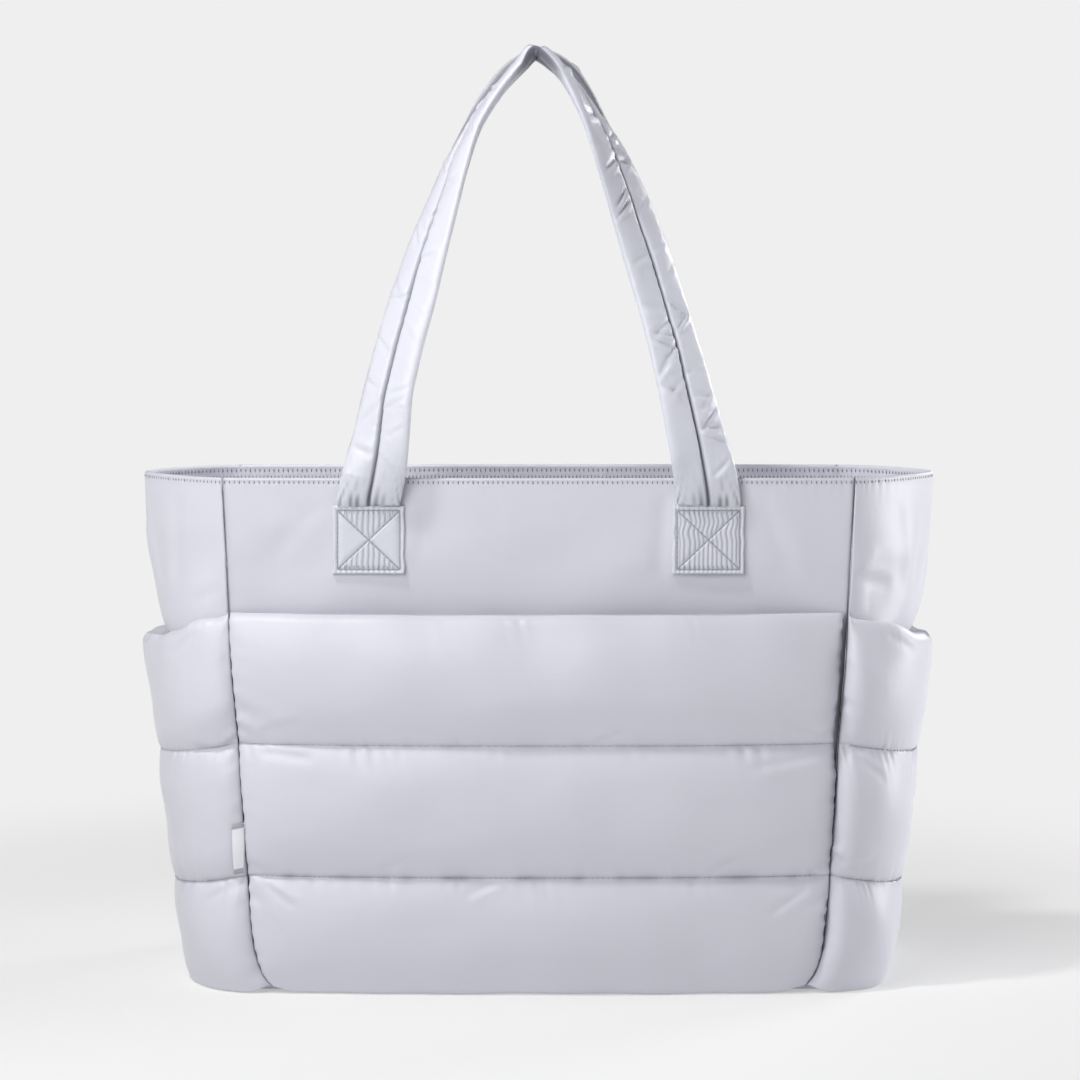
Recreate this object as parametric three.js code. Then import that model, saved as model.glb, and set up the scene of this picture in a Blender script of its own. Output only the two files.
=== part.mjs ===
// Quilted puffer tote bag: an open bag with a front pocket, two side pockets and two shoulder handles.
// Millimetres, +Z up, the front towards -Y. The origin is on the floor, under the middle of the base.
// Every wall is a closed slab: an outer and an inner grid of points, joined round their edges.
import * as THREE from 'three';

// Driving sizes of the bag's body
const bagHeight = 300;
const rimSeamHalfWidth = 185; // from the middle of the bag to the side seam, at the rim
const rimTipReach = 237; // from the middle of the bag to the side wall's folded tip, at the rim
const baseTipReach = 204; // from the middle of the bag to the end of the base
const rimHalfDepth = 66;
const baseHalfDepth = 80;
const panelBow = 4; // how far the front and back walls bow out between their seams
const wallThickness = 3;
const baseThickness = 4;

// Clearances between sewn pieces
const seamGap = 0.3;
const padGap = 0.6;
const floorClearance = 0.6;

// Driving sizes of the quilted pockets
const pocketHeight = 221.6; // the front pocket's mouth, and the side pockets' at their seams
const upperSeamHeight = 145.7;
const lowerSeamHeight = 68.6;
const mouthDip = 20; // how far a side pocket's mouth drops towards its middle
const seamDip = 10; // how far its quilting seams drop there
const quiltCrown = 17; // thickness of a puffed channel
const tipCrown = 8; // the same where a side pocket turns round the bag's side
const backCrown = 14;
const quiltedSeam = 4; // thickness at a quilting seam
const sewnEdge = 3; // thickness at a side seam or a hem
const slotDepth = 11; // how far the front pocket stands off the wall at its mouth
const edgeRoll = 14; // width over which a pad rises from its side seam to its crown
const floorCut = 0.12; // share of the lowest channel's arc that is tucked under the bag

// Driving sizes of the facing, the handles and the label
const facingDepth = 28;
const facingThickness = 1;
const rimSetback = 1; // how far the facing stays below the rim
const frontSpread = 99; // from the middle of the bag to the middle of a front handle's foot
const backSpread = 104.5; // the same for the back handle
const handleRise = 249; // from the rim to the middle of the strap at the top of its arch
const strapWidth = 37;
const strapThickness = 7;
const footWidth = 42;
const footHeight = 40;
const footThickness = 2.5;
const footDrop = 16; // from the rim down to the foot's upper edge
const handleParting = 37; // between the two straps' middles at the top
const strapEase = 2; // how far a strap stands clear of the rim's edge
const footStep = 2; // height over which the sewn-down foot becomes the padded strap
const labelLength = 28.5;
const labelWidth = 7.5;
const labelThickness = 0.8;
const labelTop = 100;
const labelClearance = 0.9; // from the side pocket's puffed face to the label

// How the walls run with height. height is a share of the bag's height, seam of the rim's seam half
// width. wallReach and pocketReach are shares of the way from the base's reach to the rim's, at the
// side's middle. front, back and pad say how boxed the side wall's two halves and the side pocket
// are in plan: 1 is a straight fold, 2 an ellipse, and more is squarer.
const bodyRows = [
  { height: 0.0, seam: 0.84, wallReach: -0.18, pocketReach: 0.0, front: 2.4, back: 2.4, pad: 2.4 },
  { height: 0.035, seam: 0.872, wallReach: -0.19, pocketReach: 0.08, front: 2.4, back: 2.4, pad: 2.45 },
  { height: 0.1, seam: 0.9, wallReach: -0.2, pocketReach: 0.16, front: 2.3, back: 2.3, pad: 2.45 },
  { height: 0.2, seam: 0.916, wallReach: -0.2, pocketReach: 0.27, front: 2.3, back: 2.3, pad: 2.4 },
  { height: 0.34, seam: 0.931, wallReach: -0.15, pocketReach: 0.42, front: 2.2, back: 2.2, pad: 2.35 },
  { height: 0.5, seam: 0.949, wallReach: -0.02, pocketReach: 0.58, front: 2.1, back: 2.1, pad: 2.25 },
  { height: 0.57, seam: 0.958, wallReach: 0.08, pocketReach: 0.67, front: 2.0, back: 2.0, pad: 2.15 },
  { height: 0.63, seam: 0.967, wallReach: 0.33, pocketReach: 0.77, front: 1.85, back: 1.9, pad: 2.0 },
  { height: 0.69, seam: 0.973, wallReach: 0.65, pocketReach: 0.84, front: 1.7, back: 1.8, pad: 1.9 },
  { height: 0.75, seam: 0.979, wallReach: 0.79, pocketReach: 0.88, front: 1.6, back: 1.75, pad: 1.85 },
  { height: 0.88, seam: 0.99, wallReach: 0.96, pocketReach: 1.0, front: 1.4, back: 1.65, pad: 1.8 },
  { height: 1.0, seam: 1.0, wallReach: 1.0, pocketReach: 1.0, front: 1.3, back: 1.6, pad: 1.8 },
];

// A handle from the top of its foot to the top of its arch. rise is a share of that height, left and
// right of the feet's spread, lean of the way from the wall to the middle, width and thick of the
// strap's own. turnL and turnR, in degrees, bring the two legs' inner edges to the front.
const frontHandleRows = [
  { rise: 0.06, left: 0.972, right: 0.98, lean: 0.0, turnL: 3, turnR: 3, width: 1.0, thick: 1.0 },
  { rise: 0.123, left: 0.936, right: 0.943, lean: 0.01, turnL: 22, turnR: 22, width: 1.0, thick: 1.1 },
  { rise: 0.232, left: 0.892, right: 0.877, lean: 0.09, turnL: 37, turnR: 29, width: 0.98, thick: 1.2 },
  { rise: 0.352, left: 0.818, right: 0.795, lean: 0.23, turnL: 40, turnR: 36, width: 0.97, thick: 1.25 },
  { rise: 0.45, left: 0.743, right: 0.72, lean: 0.35, turnL: 42, turnR: 39, width: 0.97, thick: 1.3 },
  { rise: 0.555, left: 0.661, right: 0.633, lean: 0.48, turnL: 50, turnR: 41, width: 0.97, thick: 1.3 },
  { rise: 0.65, left: 0.577, right: 0.547, lean: 0.6, turnL: 60, turnR: 47, width: 0.97, thick: 1.3 },
  { rise: 0.756, left: 0.477, right: 0.439, lean: 0.73, turnL: 71, turnR: 58, width: 0.96, thick: 1.25 },
  { rise: 0.84, left: 0.372, right: 0.334, lean: 0.84, turnL: 83, turnR: 72, width: 0.94, thick: 1.2 },
  { rise: 0.914, left: 0.237, right: 0.214, lean: 0.93, turnL: 88, turnR: 84, width: 0.92, thick: 1.1 },
  { rise: 0.97, left: 0.105, right: 0.1, lean: 0.98, turnL: 90, turnR: 88, width: 0.9, thick: 1.1 },
  { rise: 1.0, left: 0.024, right: -0.024, lean: 1.0, turnL: 90, turnR: 90, width: 0.9, thick: 1.2 },
];
const backHandleRows = [
  { rise: 0.06, left: 0.972, right: 0.98, lean: 0.0, turnL: 3, turnR: 3, width: 1.0, thick: 1.0 },
  { rise: 0.123, left: 0.935, right: 0.942, lean: 0.01, turnL: 22, turnR: 22, width: 1.0, thick: 1.1 },
  { rise: 0.232, left: 0.89, right: 0.875, lean: 0.09, turnL: 34, turnR: 30, width: 0.97, thick: 1.2 },
  { rise: 0.352, left: 0.808, right: 0.785, lean: 0.23, turnL: 40, turnR: 38, width: 0.96, thick: 1.25 },
  { rise: 0.45, left: 0.732, right: 0.709, lean: 0.35, turnL: 44, turnR: 42, width: 0.96, thick: 1.25 },
  { rise: 0.555, left: 0.65, right: 0.622, lean: 0.48, turnL: 52, turnR: 46, width: 0.96, thick: 1.25 },
  { rise: 0.65, left: 0.566, right: 0.535, lean: 0.6, turnL: 62, turnR: 54, width: 0.96, thick: 1.25 },
  { rise: 0.756, left: 0.473, right: 0.437, lean: 0.73, turnL: 73, turnR: 66, width: 0.95, thick: 1.2 },
  { rise: 0.84, left: 0.389, right: 0.35, lean: 0.84, turnL: 83, turnR: 77, width: 0.93, thick: 1.15 },
  { rise: 0.914, left: 0.282, right: 0.274, lean: 0.93, turnL: 88, turnR: 86, width: 0.92, thick: 1.05 },
  { rise: 0.975, left: 0.155, right: 0.16, lean: 0.98, turnL: 90, turnR: 89, width: 0.9, thick: 1.0 },
  { rise: 1.004, left: 0.0, right: 0.0, lean: 1.0, turnL: 90, turnR: 90, width: 0.9, thick: 1.0 },
];

// The strap's section, as shares of half its width and half its thickness: two padded lobes, with a
// sewn seam between them
const strapSection = [
  { across: -1.0, out: 0.0 },
  { across: -0.8, out: 0.8 },
  { across: -0.45, out: 1.0 },
  { across: 0.0, out: 0.55 },
  { across: 0.45, out: 1.0 },
  { across: 0.8, out: 0.8 },
  { across: 1.0, out: 0.0 },
  { across: 0.6, out: -0.9 },
  { across: 0.0, out: -0.65 },
  { across: -0.6, out: -0.9 },
];

const radians = THREE.MathUtils.degToRad;
const lerp = THREE.MathUtils.lerp;

// Reads a column of a table at a share of the height, on a smooth curve that never overshoots
function readRows(rows, key, column, at) {
  const last = rows.length - 1;
  const place = THREE.MathUtils.clamp(at, rows[0][key], rows[last][key]);
  let i = 0;
  while (i < last - 1 && place > rows[i + 1][key]) i += 1;
  const rate = (k) => (rows[k + 1][column] - rows[k][column]) / (rows[k + 1][key] - rows[k][key]);
  const slope = (k) => {
    if (k === 0) return rate(0);
    if (k === last) return rate(last - 1);
    const before = rate(k - 1);
    const after = rate(k);
    return before * after > 0 ? (2 * before * after) / (before + after) : 0;
  };
  const span = rows[i + 1][key] - rows[i][key];
  const s = (place - rows[i][key]) / span;
  const rise = rows[i + 1][column] - rows[i][column];
  return rows[i][column] + s * s * (3 - 2 * s) * rise
    + s * (1 - s) * (1 - s) * span * slope(i) - s * s * (1 - s) * span * slope(i + 1);
}

// The body's sizes at one height
function bodyAt(z) {
  const share = z / bagHeight;
  const read = (column) => readRows(bodyRows, 'height', column, share);
  return {
    seam: read('seam') * rimSeamHalfWidth,
    depth: lerp(baseHalfDepth, rimHalfDepth, share),
    wallReach: lerp(baseTipReach, rimTipReach, read('wallReach')),
    pocketReach: lerp(baseTipReach, rimTipReach, read('pocketReach')),
    front: read('front'),
    back: read('back'),
    pad: read('pad'),
  };
}

// How far the front or back wall's outer face stands from the bag's middle plane. across runs from
// -1 at the left seam to 1 at the right one.
function wallDepth(body, across) {
  return body.depth + panelBow * (1 - across * across);
}

// A point on a side curve in plan, and the direction out of the wall there. angle runs from -90
// degrees at the front seam through 0 at the side's middle to 90 degrees at the back seam.
function sideCurve(body, reach, front, back, angle) {
  const square = angle < 0 ? front : back;
  const along = Math.max(Math.cos(angle), 0) ** (2 / square);
  const deep = Math.sign(angle) * Math.abs(Math.sin(angle)) ** (2 / square);
  return new THREE.Vector2(body.seam + (reach - body.seam) * along, body.depth * deep);
}

function sidePoint(body, reach, front, back, angle, offset) {
  const step = radians(1);
  const curve = (a) => sideCurve(body, reach, front, back, a);
  const point = curve(angle);
  const before = curve(Math.max(angle - step, -Math.PI / 2));
  const after = curve(Math.min(angle + step, Math.PI / 2));
  const run = after.sub(before).normalize();
  const atSeam = Math.abs(angle) > Math.PI / 2 - step;
  const out = atSeam ? new THREE.Vector2(0, Math.sign(angle)) : new THREE.Vector2(run.y, -run.x);
  return point.addScaledVector(out, offset);
}

// A mesh from rings or grids of points, turned right side out if its volume comes out negative
function closedGeometry(points, triangles) {
  const geometry = new THREE.BufferGeometry();
  const numbers = points.flatMap((p) => [p.x, p.y, p.z]);
  geometry.setAttribute('position', new THREE.Float32BufferAttribute(numbers, 3));
  const volume = triangles.reduce((sum, [a, b, c]) =>
    sum + points[a].dot(new THREE.Vector3().crossVectors(points[b], points[c])), 0);
  const facing = volume < 0 ? triangles.map(([a, b, c]) => [a, c, b]) : triangles;
  geometry.setIndex(facing.flat());
  geometry.computeVertexNormals();
  return geometry;
}

// A closed slab between two grids of points with the same rows and columns
function slab(outer, inner) {
  const rows = outer.length;
  const columns = outer[0].length;
  const points = [...outer.flat(), ...inner.flat()];
  const half = rows * columns;
  const triangles = [];
  const quad = (a, b, c, d) => triangles.push([a, b, c], [a, c, d]);
  const at = (layer, i, j) => layer * half + i * columns + j;
  const end = columns - 1;
  for (let i = 0; i < rows - 1; i += 1) {
    for (let j = 0; j < columns - 1; j += 1) {
      quad(at(0, i, j), at(0, i, j + 1), at(0, i + 1, j + 1), at(0, i + 1, j));
      quad(at(1, i, j), at(1, i + 1, j), at(1, i + 1, j + 1), at(1, i, j + 1));
    }
    quad(at(0, i, 0), at(0, i + 1, 0), at(1, i + 1, 0), at(1, i, 0));
    quad(at(0, i + 1, end), at(0, i, end), at(1, i, end), at(1, i + 1, end));
  }
  for (let j = 0; j < columns - 1; j += 1) {
    quad(at(0, 0, j + 1), at(0, 0, j), at(1, 0, j), at(1, 0, j + 1));
    quad(at(0, rows - 1, j), at(0, rows - 1, j + 1), at(1, rows - 1, j + 1), at(1, rows - 1, j));
  }
  return closedGeometry(points, triangles);
}

// Even shares from 0 to 1
function shares(count) {
  return Array.from({ length: count + 1 }, (_, k) => k / count);
}

// Shares that crowd towards both ends, for a pad that rolls over at its edges
function crowdedShares(count) {
  return shares(count).map((s) => {
    const t = 2 * s - 1;
    return (1 + Math.sign(t) * (1 - (1 - Math.abs(t)) ** 1.7)) / 2;
  });
}

// The heights of a quilted pad's rows, each with the share of the puff there and the dip that a side
// pocket has. A channel puffs up quickly beside each seam, and the lowest one starts part of the way
// up its arc, because it is tucked under the bag.
function quiltRows(floor, mouth) {
  const seams = [
    { z: floor, dip: 0 },
    { z: lowerSeamHeight, dip: seamDip },
    { z: upperSeamHeight, dip: seamDip },
    { z: mouth, dip: mouthDip },
  ];
  const stations = [0, 0.08, 0.25, 0.5, 0.75, 0.92];
  const rows = [];
  for (let k = 0; k < seams.length - 1; k += 1) {
    for (const s of stations) {
      rows.push({
        z: lerp(seams[k].z, seams[k + 1].z, s),
        dip: lerp(seams[k].dip, seams[k + 1].dip, s),
        puff: Math.sin(Math.PI * (k === 0 ? lerp(floorCut, 1, s) : s)) ** 0.6,
        onSeam: s === 0 && k > 0,
      });
    }
  }
  rows.push({ z: mouth, dip: mouthDip, puff: 0, onSeam: false });
  return rows;
}

// Thickness of a pad: its sewn edge, or its quilting seam, plus the channel's puff
function padThickness(row, crown, edge) {
  const thin = row.onSeam || row.puff > 0 ? quiltedSeam : sewnEdge;
  return sewnEdge + (thin - sewnEdge) * edge + (crown - thin) * row.puff * edge;
}

// How far a pad has risen at a distance from its side seam: a quarter circle
function rollShare(distance) {
  const s = THREE.MathUtils.clamp(distance / edgeRoll, 0, 1);
  return Math.sqrt(1 - (1 - s) * (1 - s));
}

// The rows that all four walls share, so that they meet along one line at each side seam
function wallRows() {
  const floor = baseThickness + seamGap;
  const plain = [0.33, 0.67, 1].map((s) => {
    const z = lerp(pocketHeight, bagHeight, s);
    return { z, puff: 0, onSeam: false };
  });
  return [...quiltRows(floor, pocketHeight), ...plain];
}

// The plain front wall
function frontPanel() {
  const columns = shares(8).map((s) => 2 * s - 1);
  const grid = (inward) => wallRows().map(({ z }) => {
    const body = bodyAt(z);
    return columns.map((t) =>
      new THREE.Vector3(t * (body.seam - seamGap / 2), -(wallDepth(body, t) - inward), z));
  });
  return slab(grid(0), grid(wallThickness));
}

// The back wall: plain above, with three puffed channels quilted into it below
function backPanel() {
  const columns = crowdedShares(12).map((s) => 2 * s - 1);
  const grid = (outer) => wallRows().map((row) => {
    const body = bodyAt(row.z);
    return columns.map((t) => {
      const roll = rollShare((1 - Math.abs(t)) * body.seam);
      const out = outer ? padThickness(row, backCrown, roll) - wallThickness : -wallThickness;
      return new THREE.Vector3(t * (body.seam - seamGap / 2), wallDepth(body, t) + out, row.z);
    });
  });
  return slab(grid(true), grid(false));
}

// A side wall, from the front seam round to the back seam
function gusset(side) {
  const angles = shares(12).map((s) => Math.PI * (s - 0.5));
  const grid = (offset) => wallRows().map(({ z }) => {
    const body = bodyAt(z);
    return angles.map((angle) => {
      const p = sidePoint(body, body.wallReach, body.front, body.back, angle, offset);
      return new THREE.Vector3(side * (p.x + seamGap / 2), p.y, z);
    });
  });
  return slab(grid(0), grid(-wallThickness));
}

// The base's outline in plan, in order round the bag: front, right side, back, left side
function ring(body, reach, offset) {
  const across = shares(8).map((s) => 2 * s - 1);
  const angles = shares(12).map((s) => Math.PI * (s - 0.5)).slice(1, -1);
  const side = (sign, angle) => {
    const p = sidePoint(body, reach, body.front, body.back, angle, offset);
    return new THREE.Vector2(sign * p.x, p.y);
  };
  return [
    ...across.map((t) => new THREE.Vector2(t * body.seam, -wallDepth(body, t) - offset)),
    ...angles.map((angle) => side(1, angle)),
    ...across.map((t) => new THREE.Vector2(-t * body.seam, wallDepth(body, t) + offset)),
    ...angles.map((angle) => side(-1, -angle)),
  ];
}

// The flat panel that the bag rests on
function basePanel() {
  const body = bodyAt(0);
  const outline = new THREE.Shape(ring(body, baseTipReach, -seamGap));
  return new THREE.ExtrudeGeometry(outline, { depth: baseThickness, bevelEnabled: false });
}

// The turned-in band behind the rim: a closed loop just inside the walls
function rimFacing() {
  const top = bagHeight - rimSetback;
  const foot = top - facingDepth;
  const outerInset = wallThickness + seamGap;
  const innerInset = outerInset + facingThickness;
  const corners = [[outerInset, foot], [outerInset, top], [innerInset, top], [innerInset, foot]];
  const loops = corners.map(([inset, z]) => {
    const body = bodyAt(z);
    return ring(body, body.wallReach, -inset).map((p) => new THREE.Vector3(p.x, p.y, z));
  });
  const count = loops[0].length;
  const triangles = [];
  loops.forEach((_, k) => {
    const next = (k + 1) % loops.length;
    for (let j = 0; j < count; j += 1) {
      const after = (j + 1) % count;
      triangles.push([k * count + j, k * count + after, next * count + after]);
      triangles.push([k * count + j, next * count + after, next * count + j]);
    }
  });
  return closedGeometry(loops.flat(), triangles);
}

// How far the front pocket stands off the front wall: sewn down at its sides and its foot
function slotAt(z, across) {
  const up = THREE.MathUtils.clamp((z - floorClearance) / (pocketHeight - floorClearance), 0, 1);
  return padGap + slotDepth * Math.sin(up * Math.PI / 2) ** 0.6 * (1 - across ** 4);
}

// The front pocket: a quilted pad that stands off the wall, so that its mouth is open
function frontPocket() {
  const columns = crowdedShares(14).map((s) => 2 * s - 1);
  const rows = quiltRows(floorClearance, pocketHeight);
  const grid = (outer) => rows.map((row) => {
    const body = bodyAt(row.z);
    return columns.map((t) => {
      const roll = rollShare((1 - Math.abs(t)) * body.seam);
      const out = slotAt(row.z, t) + (outer ? padThickness(row, quiltCrown, roll) : 0);
      return new THREE.Vector3(t * (body.seam - seamGap / 2), -(wallDepth(body, t) + out), row.z);
    });
  });
  return slab(grid(true), grid(false));
}

// A point of a side pocket. turn runs from 0 at the front seam to 1 at the back one; proud is 0 on
// the pad's inner face and 1 on its outer one, and lift goes further out.
function sidePocketPoint(side, row, turn, proud, lift) {
  const angle = Math.PI * (turn - 0.5);
  const level = bodyAt(row.z);
  const dipped = Math.max(Math.cos(angle), 0) ** (2 / level.pad);
  const z = row.z - row.dip * dipped;
  const body = bodyAt(z);
  const crown = lerp(tipCrown, quiltCrown, Math.abs(Math.sin(angle)) ** 2);
  const fromSeam = Math.min(turn, 1 - turn) * Math.PI * body.depth;
  const thickness = padThickness(row, crown, rollShare(fromSeam));
  const offset = padGap + thickness * proud + lift;
  const p = sidePoint(body, body.pocketReach, body.pad, body.pad, angle, offset);
  return new THREE.Vector3(side * (p.x + seamGap / 2), p.y, z);
}

// A side pocket: a quilted pad from the front seam round to the back seam, clear of the side wall
function sidePocket(side) {
  const rows = quiltRows(floorClearance, pocketHeight);
  const turns = crowdedShares(12);
  const along = (row, proud) => turns.map((turn) => sidePocketPoint(side, row, turn, proud, 0));
  const grid = (proud) => rows.map((row) => along(row, proud));
  return slab(grid(1), grid(0));
}

// The blank folded tab in the left seam, lying against the side pocket
function seamLabel() {
  const rows = quiltRows(floorClearance, pocketHeight);
  const turns = [0, 0.35, 0.7, 1].map((s) => (labelWidth / (Math.PI * baseHalfDepth)) * s);
  const heights = shares(4).map((s) => labelTop - labelLength * (1 - s));
  const puffAt = (z) => {
    const above = rows.findIndex((row) => row.z > z);
    const s = (z - rows[above - 1].z) / (rows[above].z - rows[above - 1].z);
    return lerp(rows[above - 1].puff, rows[above].puff, s);
  };
  const grid = (lift) => heights.map((z) => turns.map((turn) =>
    sidePocketPoint(-1, { z, dip: seamDip, puff: puffAt(z), onSeam: false }, turn, 1, lift)));
  return slab(grid(labelClearance + labelThickness), grid(labelClearance));
}

// The strap's middle line, section sizes and turn, from its left foot over the arch to its right foot
function strapStations(rows, face, spread) {
  const footTop = bagHeight - footDrop;
  const stepTop = footTop + footStep;
  const stepThickness = (footThickness + strapThickness) / 2;
  const apex = bagHeight + handleRise;
  const wallAt = (z) => wallDepth(bodyAt(Math.min(z, bagHeight)), spread / rimSeamHalfWidth);
  const onWall = (z, thick) => wallAt(z) + padGap + thick / 2;
  const clear = onWall(bagHeight, strapThickness) + strapEase;
  const leg = (sign, share, turn) => {
    const foot = [0, 0.5, 1].map((s) => {
      const z = footTop - footHeight * (1 - s);
      return {
        at: new THREE.Vector3(sign * spread, face * onWall(z, footThickness), z),
        width: footWidth,
        thick: footThickness,
        turn: 0,
      };
    });
    const step = {
      at: new THREE.Vector3(sign * spread, face * onWall(stepTop, stepThickness), stepTop),
      width: strapWidth,
      thick: stepThickness,
      turn: 0,
    };
    const arch = rows.map((row) => ({
      at: new THREE.Vector3(sign * spread * row[share],
        face * lerp(clear, handleParting / 2, row.lean), lerp(footTop, apex, row.rise)),
      width: strapWidth * row.width,
      thick: strapThickness * row.thick,
      turn: row[turn],
    }));
    return [...foot, step, ...arch];
  };
  const left = leg(-1, 'left', 'turnL');
  const right = leg(1, 'right', 'turnR').slice(0, -1).reverse();
  return [...left, ...right];
}

// A handle: the lobed section carried along the smooth line through its stations
function handle(rows, face, spread) {
  const stations = strapStations(rows, face, spread);
  const line = new THREE.CatmullRomCurve3(stations.map((s) => s.at), false, 'centripetal');
  const perStation = 2;
  const steps = (stations.length - 1) * perStation;
  const toFace = new THREE.Vector3(0, face, 0);
  const points = [];
  for (let k = 0; k <= steps; k += 1) {
    const t = k / steps;
    const i = Math.min(Math.floor(k / perStation), stations.length - 2);
    const s = k / perStation - i;
    const read = (name) => lerp(stations[i][name], stations[i + 1][name], s);
    const along = line.getTangent(t);
    const inward = new THREE.Vector3().crossVectors(along, toFace).multiplyScalar(-face).normalize();
    const turn = radians(read('turn'));
    const across = inward.multiplyScalar(Math.cos(turn)).addScaledVector(toFace, Math.sin(turn)).normalize();
    const out = new THREE.Vector3().crossVectors(across, along).multiplyScalar(-face).normalize();
    for (const corner of strapSection) {
      points.push(line.getPoint(t)
        .addScaledVector(across, corner.across * read('width') / 2)
        .addScaledVector(out, corner.out * read('thick') / 2));
    }
  }
  const count = strapSection.length;
  const triangles = [];
  for (let k = 0; k < steps; k += 1) {
    for (let j = 0; j < count; j += 1) {
      const after = (j + 1) % count;
      triangles.push([k * count + j, k * count + after, (k + 1) * count + after]);
      triangles.push([k * count + j, (k + 1) * count + after, (k + 1) * count + j]);
    }
  }
  for (const [start, flip] of [[0, true], [steps * count, false]]) {
    for (let j = 1; j < count - 1; j += 1) {
      triangles.push(flip ? [start, start + j + 1, start + j] : [start, start + j, start + j + 1]);
    }
  }
  return closedGeometry(points, triangles);
}

// Satin taffeta for the shell, a duller weave for the facing and white satin for the label
const taffeta = { color: 0xd2d3de, roughness: 0.42, metalness: 0 };
const lining = { color: 0xbfc0cc, roughness: 0.7, metalness: 0 };
const satin = { color: 0xe4e4ee, roughness: 0.5, metalness: 0 };

function piece(name, geometry, finish) {
  const mesh = new THREE.Mesh(geometry, new THREE.MeshStandardMaterial(finish));
  mesh.name = name;
  return mesh;
}

const bag = new THREE.Group();
bag.name = 'puffer_tote_bag';
bag.add(piece('base_panel', basePanel(), taffeta));
bag.add(piece('front_panel', frontPanel(), taffeta));
bag.add(piece('back_panel', backPanel(), taffeta));
bag.add(piece('left_gusset', gusset(-1), taffeta));
bag.add(piece('right_gusset', gusset(1), taffeta));
bag.add(piece('front_pocket', frontPocket(), taffeta));
bag.add(piece('left_side_pocket', sidePocket(-1), taffeta));
bag.add(piece('right_side_pocket', sidePocket(1), taffeta));
bag.add(piece('rim_facing', rimFacing(), lining));
bag.add(piece('front_handle', handle(frontHandleRows, -1, frontSpread), taffeta));
bag.add(piece('back_handle', handle(backHandleRows, 1, backSpread), taffeta));
bag.add(piece('seam_label', seamLabel(), satin));

export default bag;
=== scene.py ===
# %% [markdown]
# # A quilted puffer tote bag
# The bag is sewn from pale lilac satin taffeta, the thin nylon of puffer jackets. Loose filling is
# quilted into its pockets, and two padded handles meet above it. This notebook makes every piece as a
# surface worked out with numpy, in millimetres, inside the solid model that was made first. The front
# looks along -Y, X runs to the right and Z runs up from the floor.

# %% Load the solid model
import math
from types import SimpleNamespace

import bpy
import numpy as np
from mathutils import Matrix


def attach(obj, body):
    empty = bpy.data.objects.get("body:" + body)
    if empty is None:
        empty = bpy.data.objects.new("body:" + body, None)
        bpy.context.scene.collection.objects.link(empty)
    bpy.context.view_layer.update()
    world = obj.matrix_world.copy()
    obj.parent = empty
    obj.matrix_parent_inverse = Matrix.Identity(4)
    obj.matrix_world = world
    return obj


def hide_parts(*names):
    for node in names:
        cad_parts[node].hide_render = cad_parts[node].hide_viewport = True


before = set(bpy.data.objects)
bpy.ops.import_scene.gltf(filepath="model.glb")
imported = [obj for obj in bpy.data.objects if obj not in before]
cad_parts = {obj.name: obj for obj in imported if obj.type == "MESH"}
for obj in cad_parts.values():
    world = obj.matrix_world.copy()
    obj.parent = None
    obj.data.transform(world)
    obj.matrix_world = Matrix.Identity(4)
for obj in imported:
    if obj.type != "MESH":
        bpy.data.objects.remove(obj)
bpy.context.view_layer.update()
MM = 0.001
scene = bpy.context.scene
print("nodes to dress:", sorted(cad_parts))

# %% [markdown]
# ## The bag's sizes
# A pattern cutter starts from a list of sizes. These are the solid model's own sizes in millimetres,
# so that each cloth piece lies where its solid lies.

# %% Sizes of the body, the pads and the small pieces
BAG_HEIGHT = 300.0
RIM_SEAM = 185.0
RIM_TIP = 237.0
BASE_TIP = 204.0
RIM_DEPTH = 66.0
BASE_DEPTH = 80.0
PANEL_BOW = 4.0
WALL = 3.0
BASE_THICKNESS = 4.0
SEAM_GAP = 0.3
PAD_GAP = 0.6
FLOOR_CLEARANCE = 0.6
POCKET_HEIGHT = 221.6
UPPER_SEAM = 145.7
LOWER_SEAM = 68.6
MOUTH_DIP = 20.0
SEAM_DIP = 10.0
QUILT_CROWN = 17.0
TIP_CROWN = 8.0
BACK_CROWN = 14.0
QUILTED_SEAM = 5.0
SEWN_EDGE = 3.0
SLOT_DEPTH = 11.0
EDGE_ROLL = 14.0
FLOOR_CUT = 0.12
FACING_DEPTH = 28.0
FACING_THICKNESS = 1.0
RIM_SETBACK = 1.0
FRONT_SPREAD = 99.0
BACK_SPREAD = 104.5
HANDLE_RISE = 249.0
STRAP_WIDTH = 37.0
STRAP_THICKNESS = 7.0
FOOT_WIDTH = 42.0
FOOT_HEIGHT = 40.0
FOOT_THICKNESS = 2.5
FOOT_DROP = 16.0
HANDLE_PARTING = 37.0
STRAP_EASE = 2.0
LABEL_LENGTH = 28.5
LABEL_WIDTH = 7.5
LABEL_TOP = 100.0
HEM_START = 288.0
WALL_FOOT = BASE_THICKNESS + SEAM_GAP
RING_STEPS = 60
RING_POINTS = 6 * RING_STEPS

# %% [markdown]
# ## How the bag's form runs with height
# A soft bag has no straight walls, so its form is a table of sections. Each row gives shares of the
# sizes above at one share of the height: the seam's place, how far the wall and the side pocket reach,
# and how square their plan is. A smooth curve through the rows gives every height between them.

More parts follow.
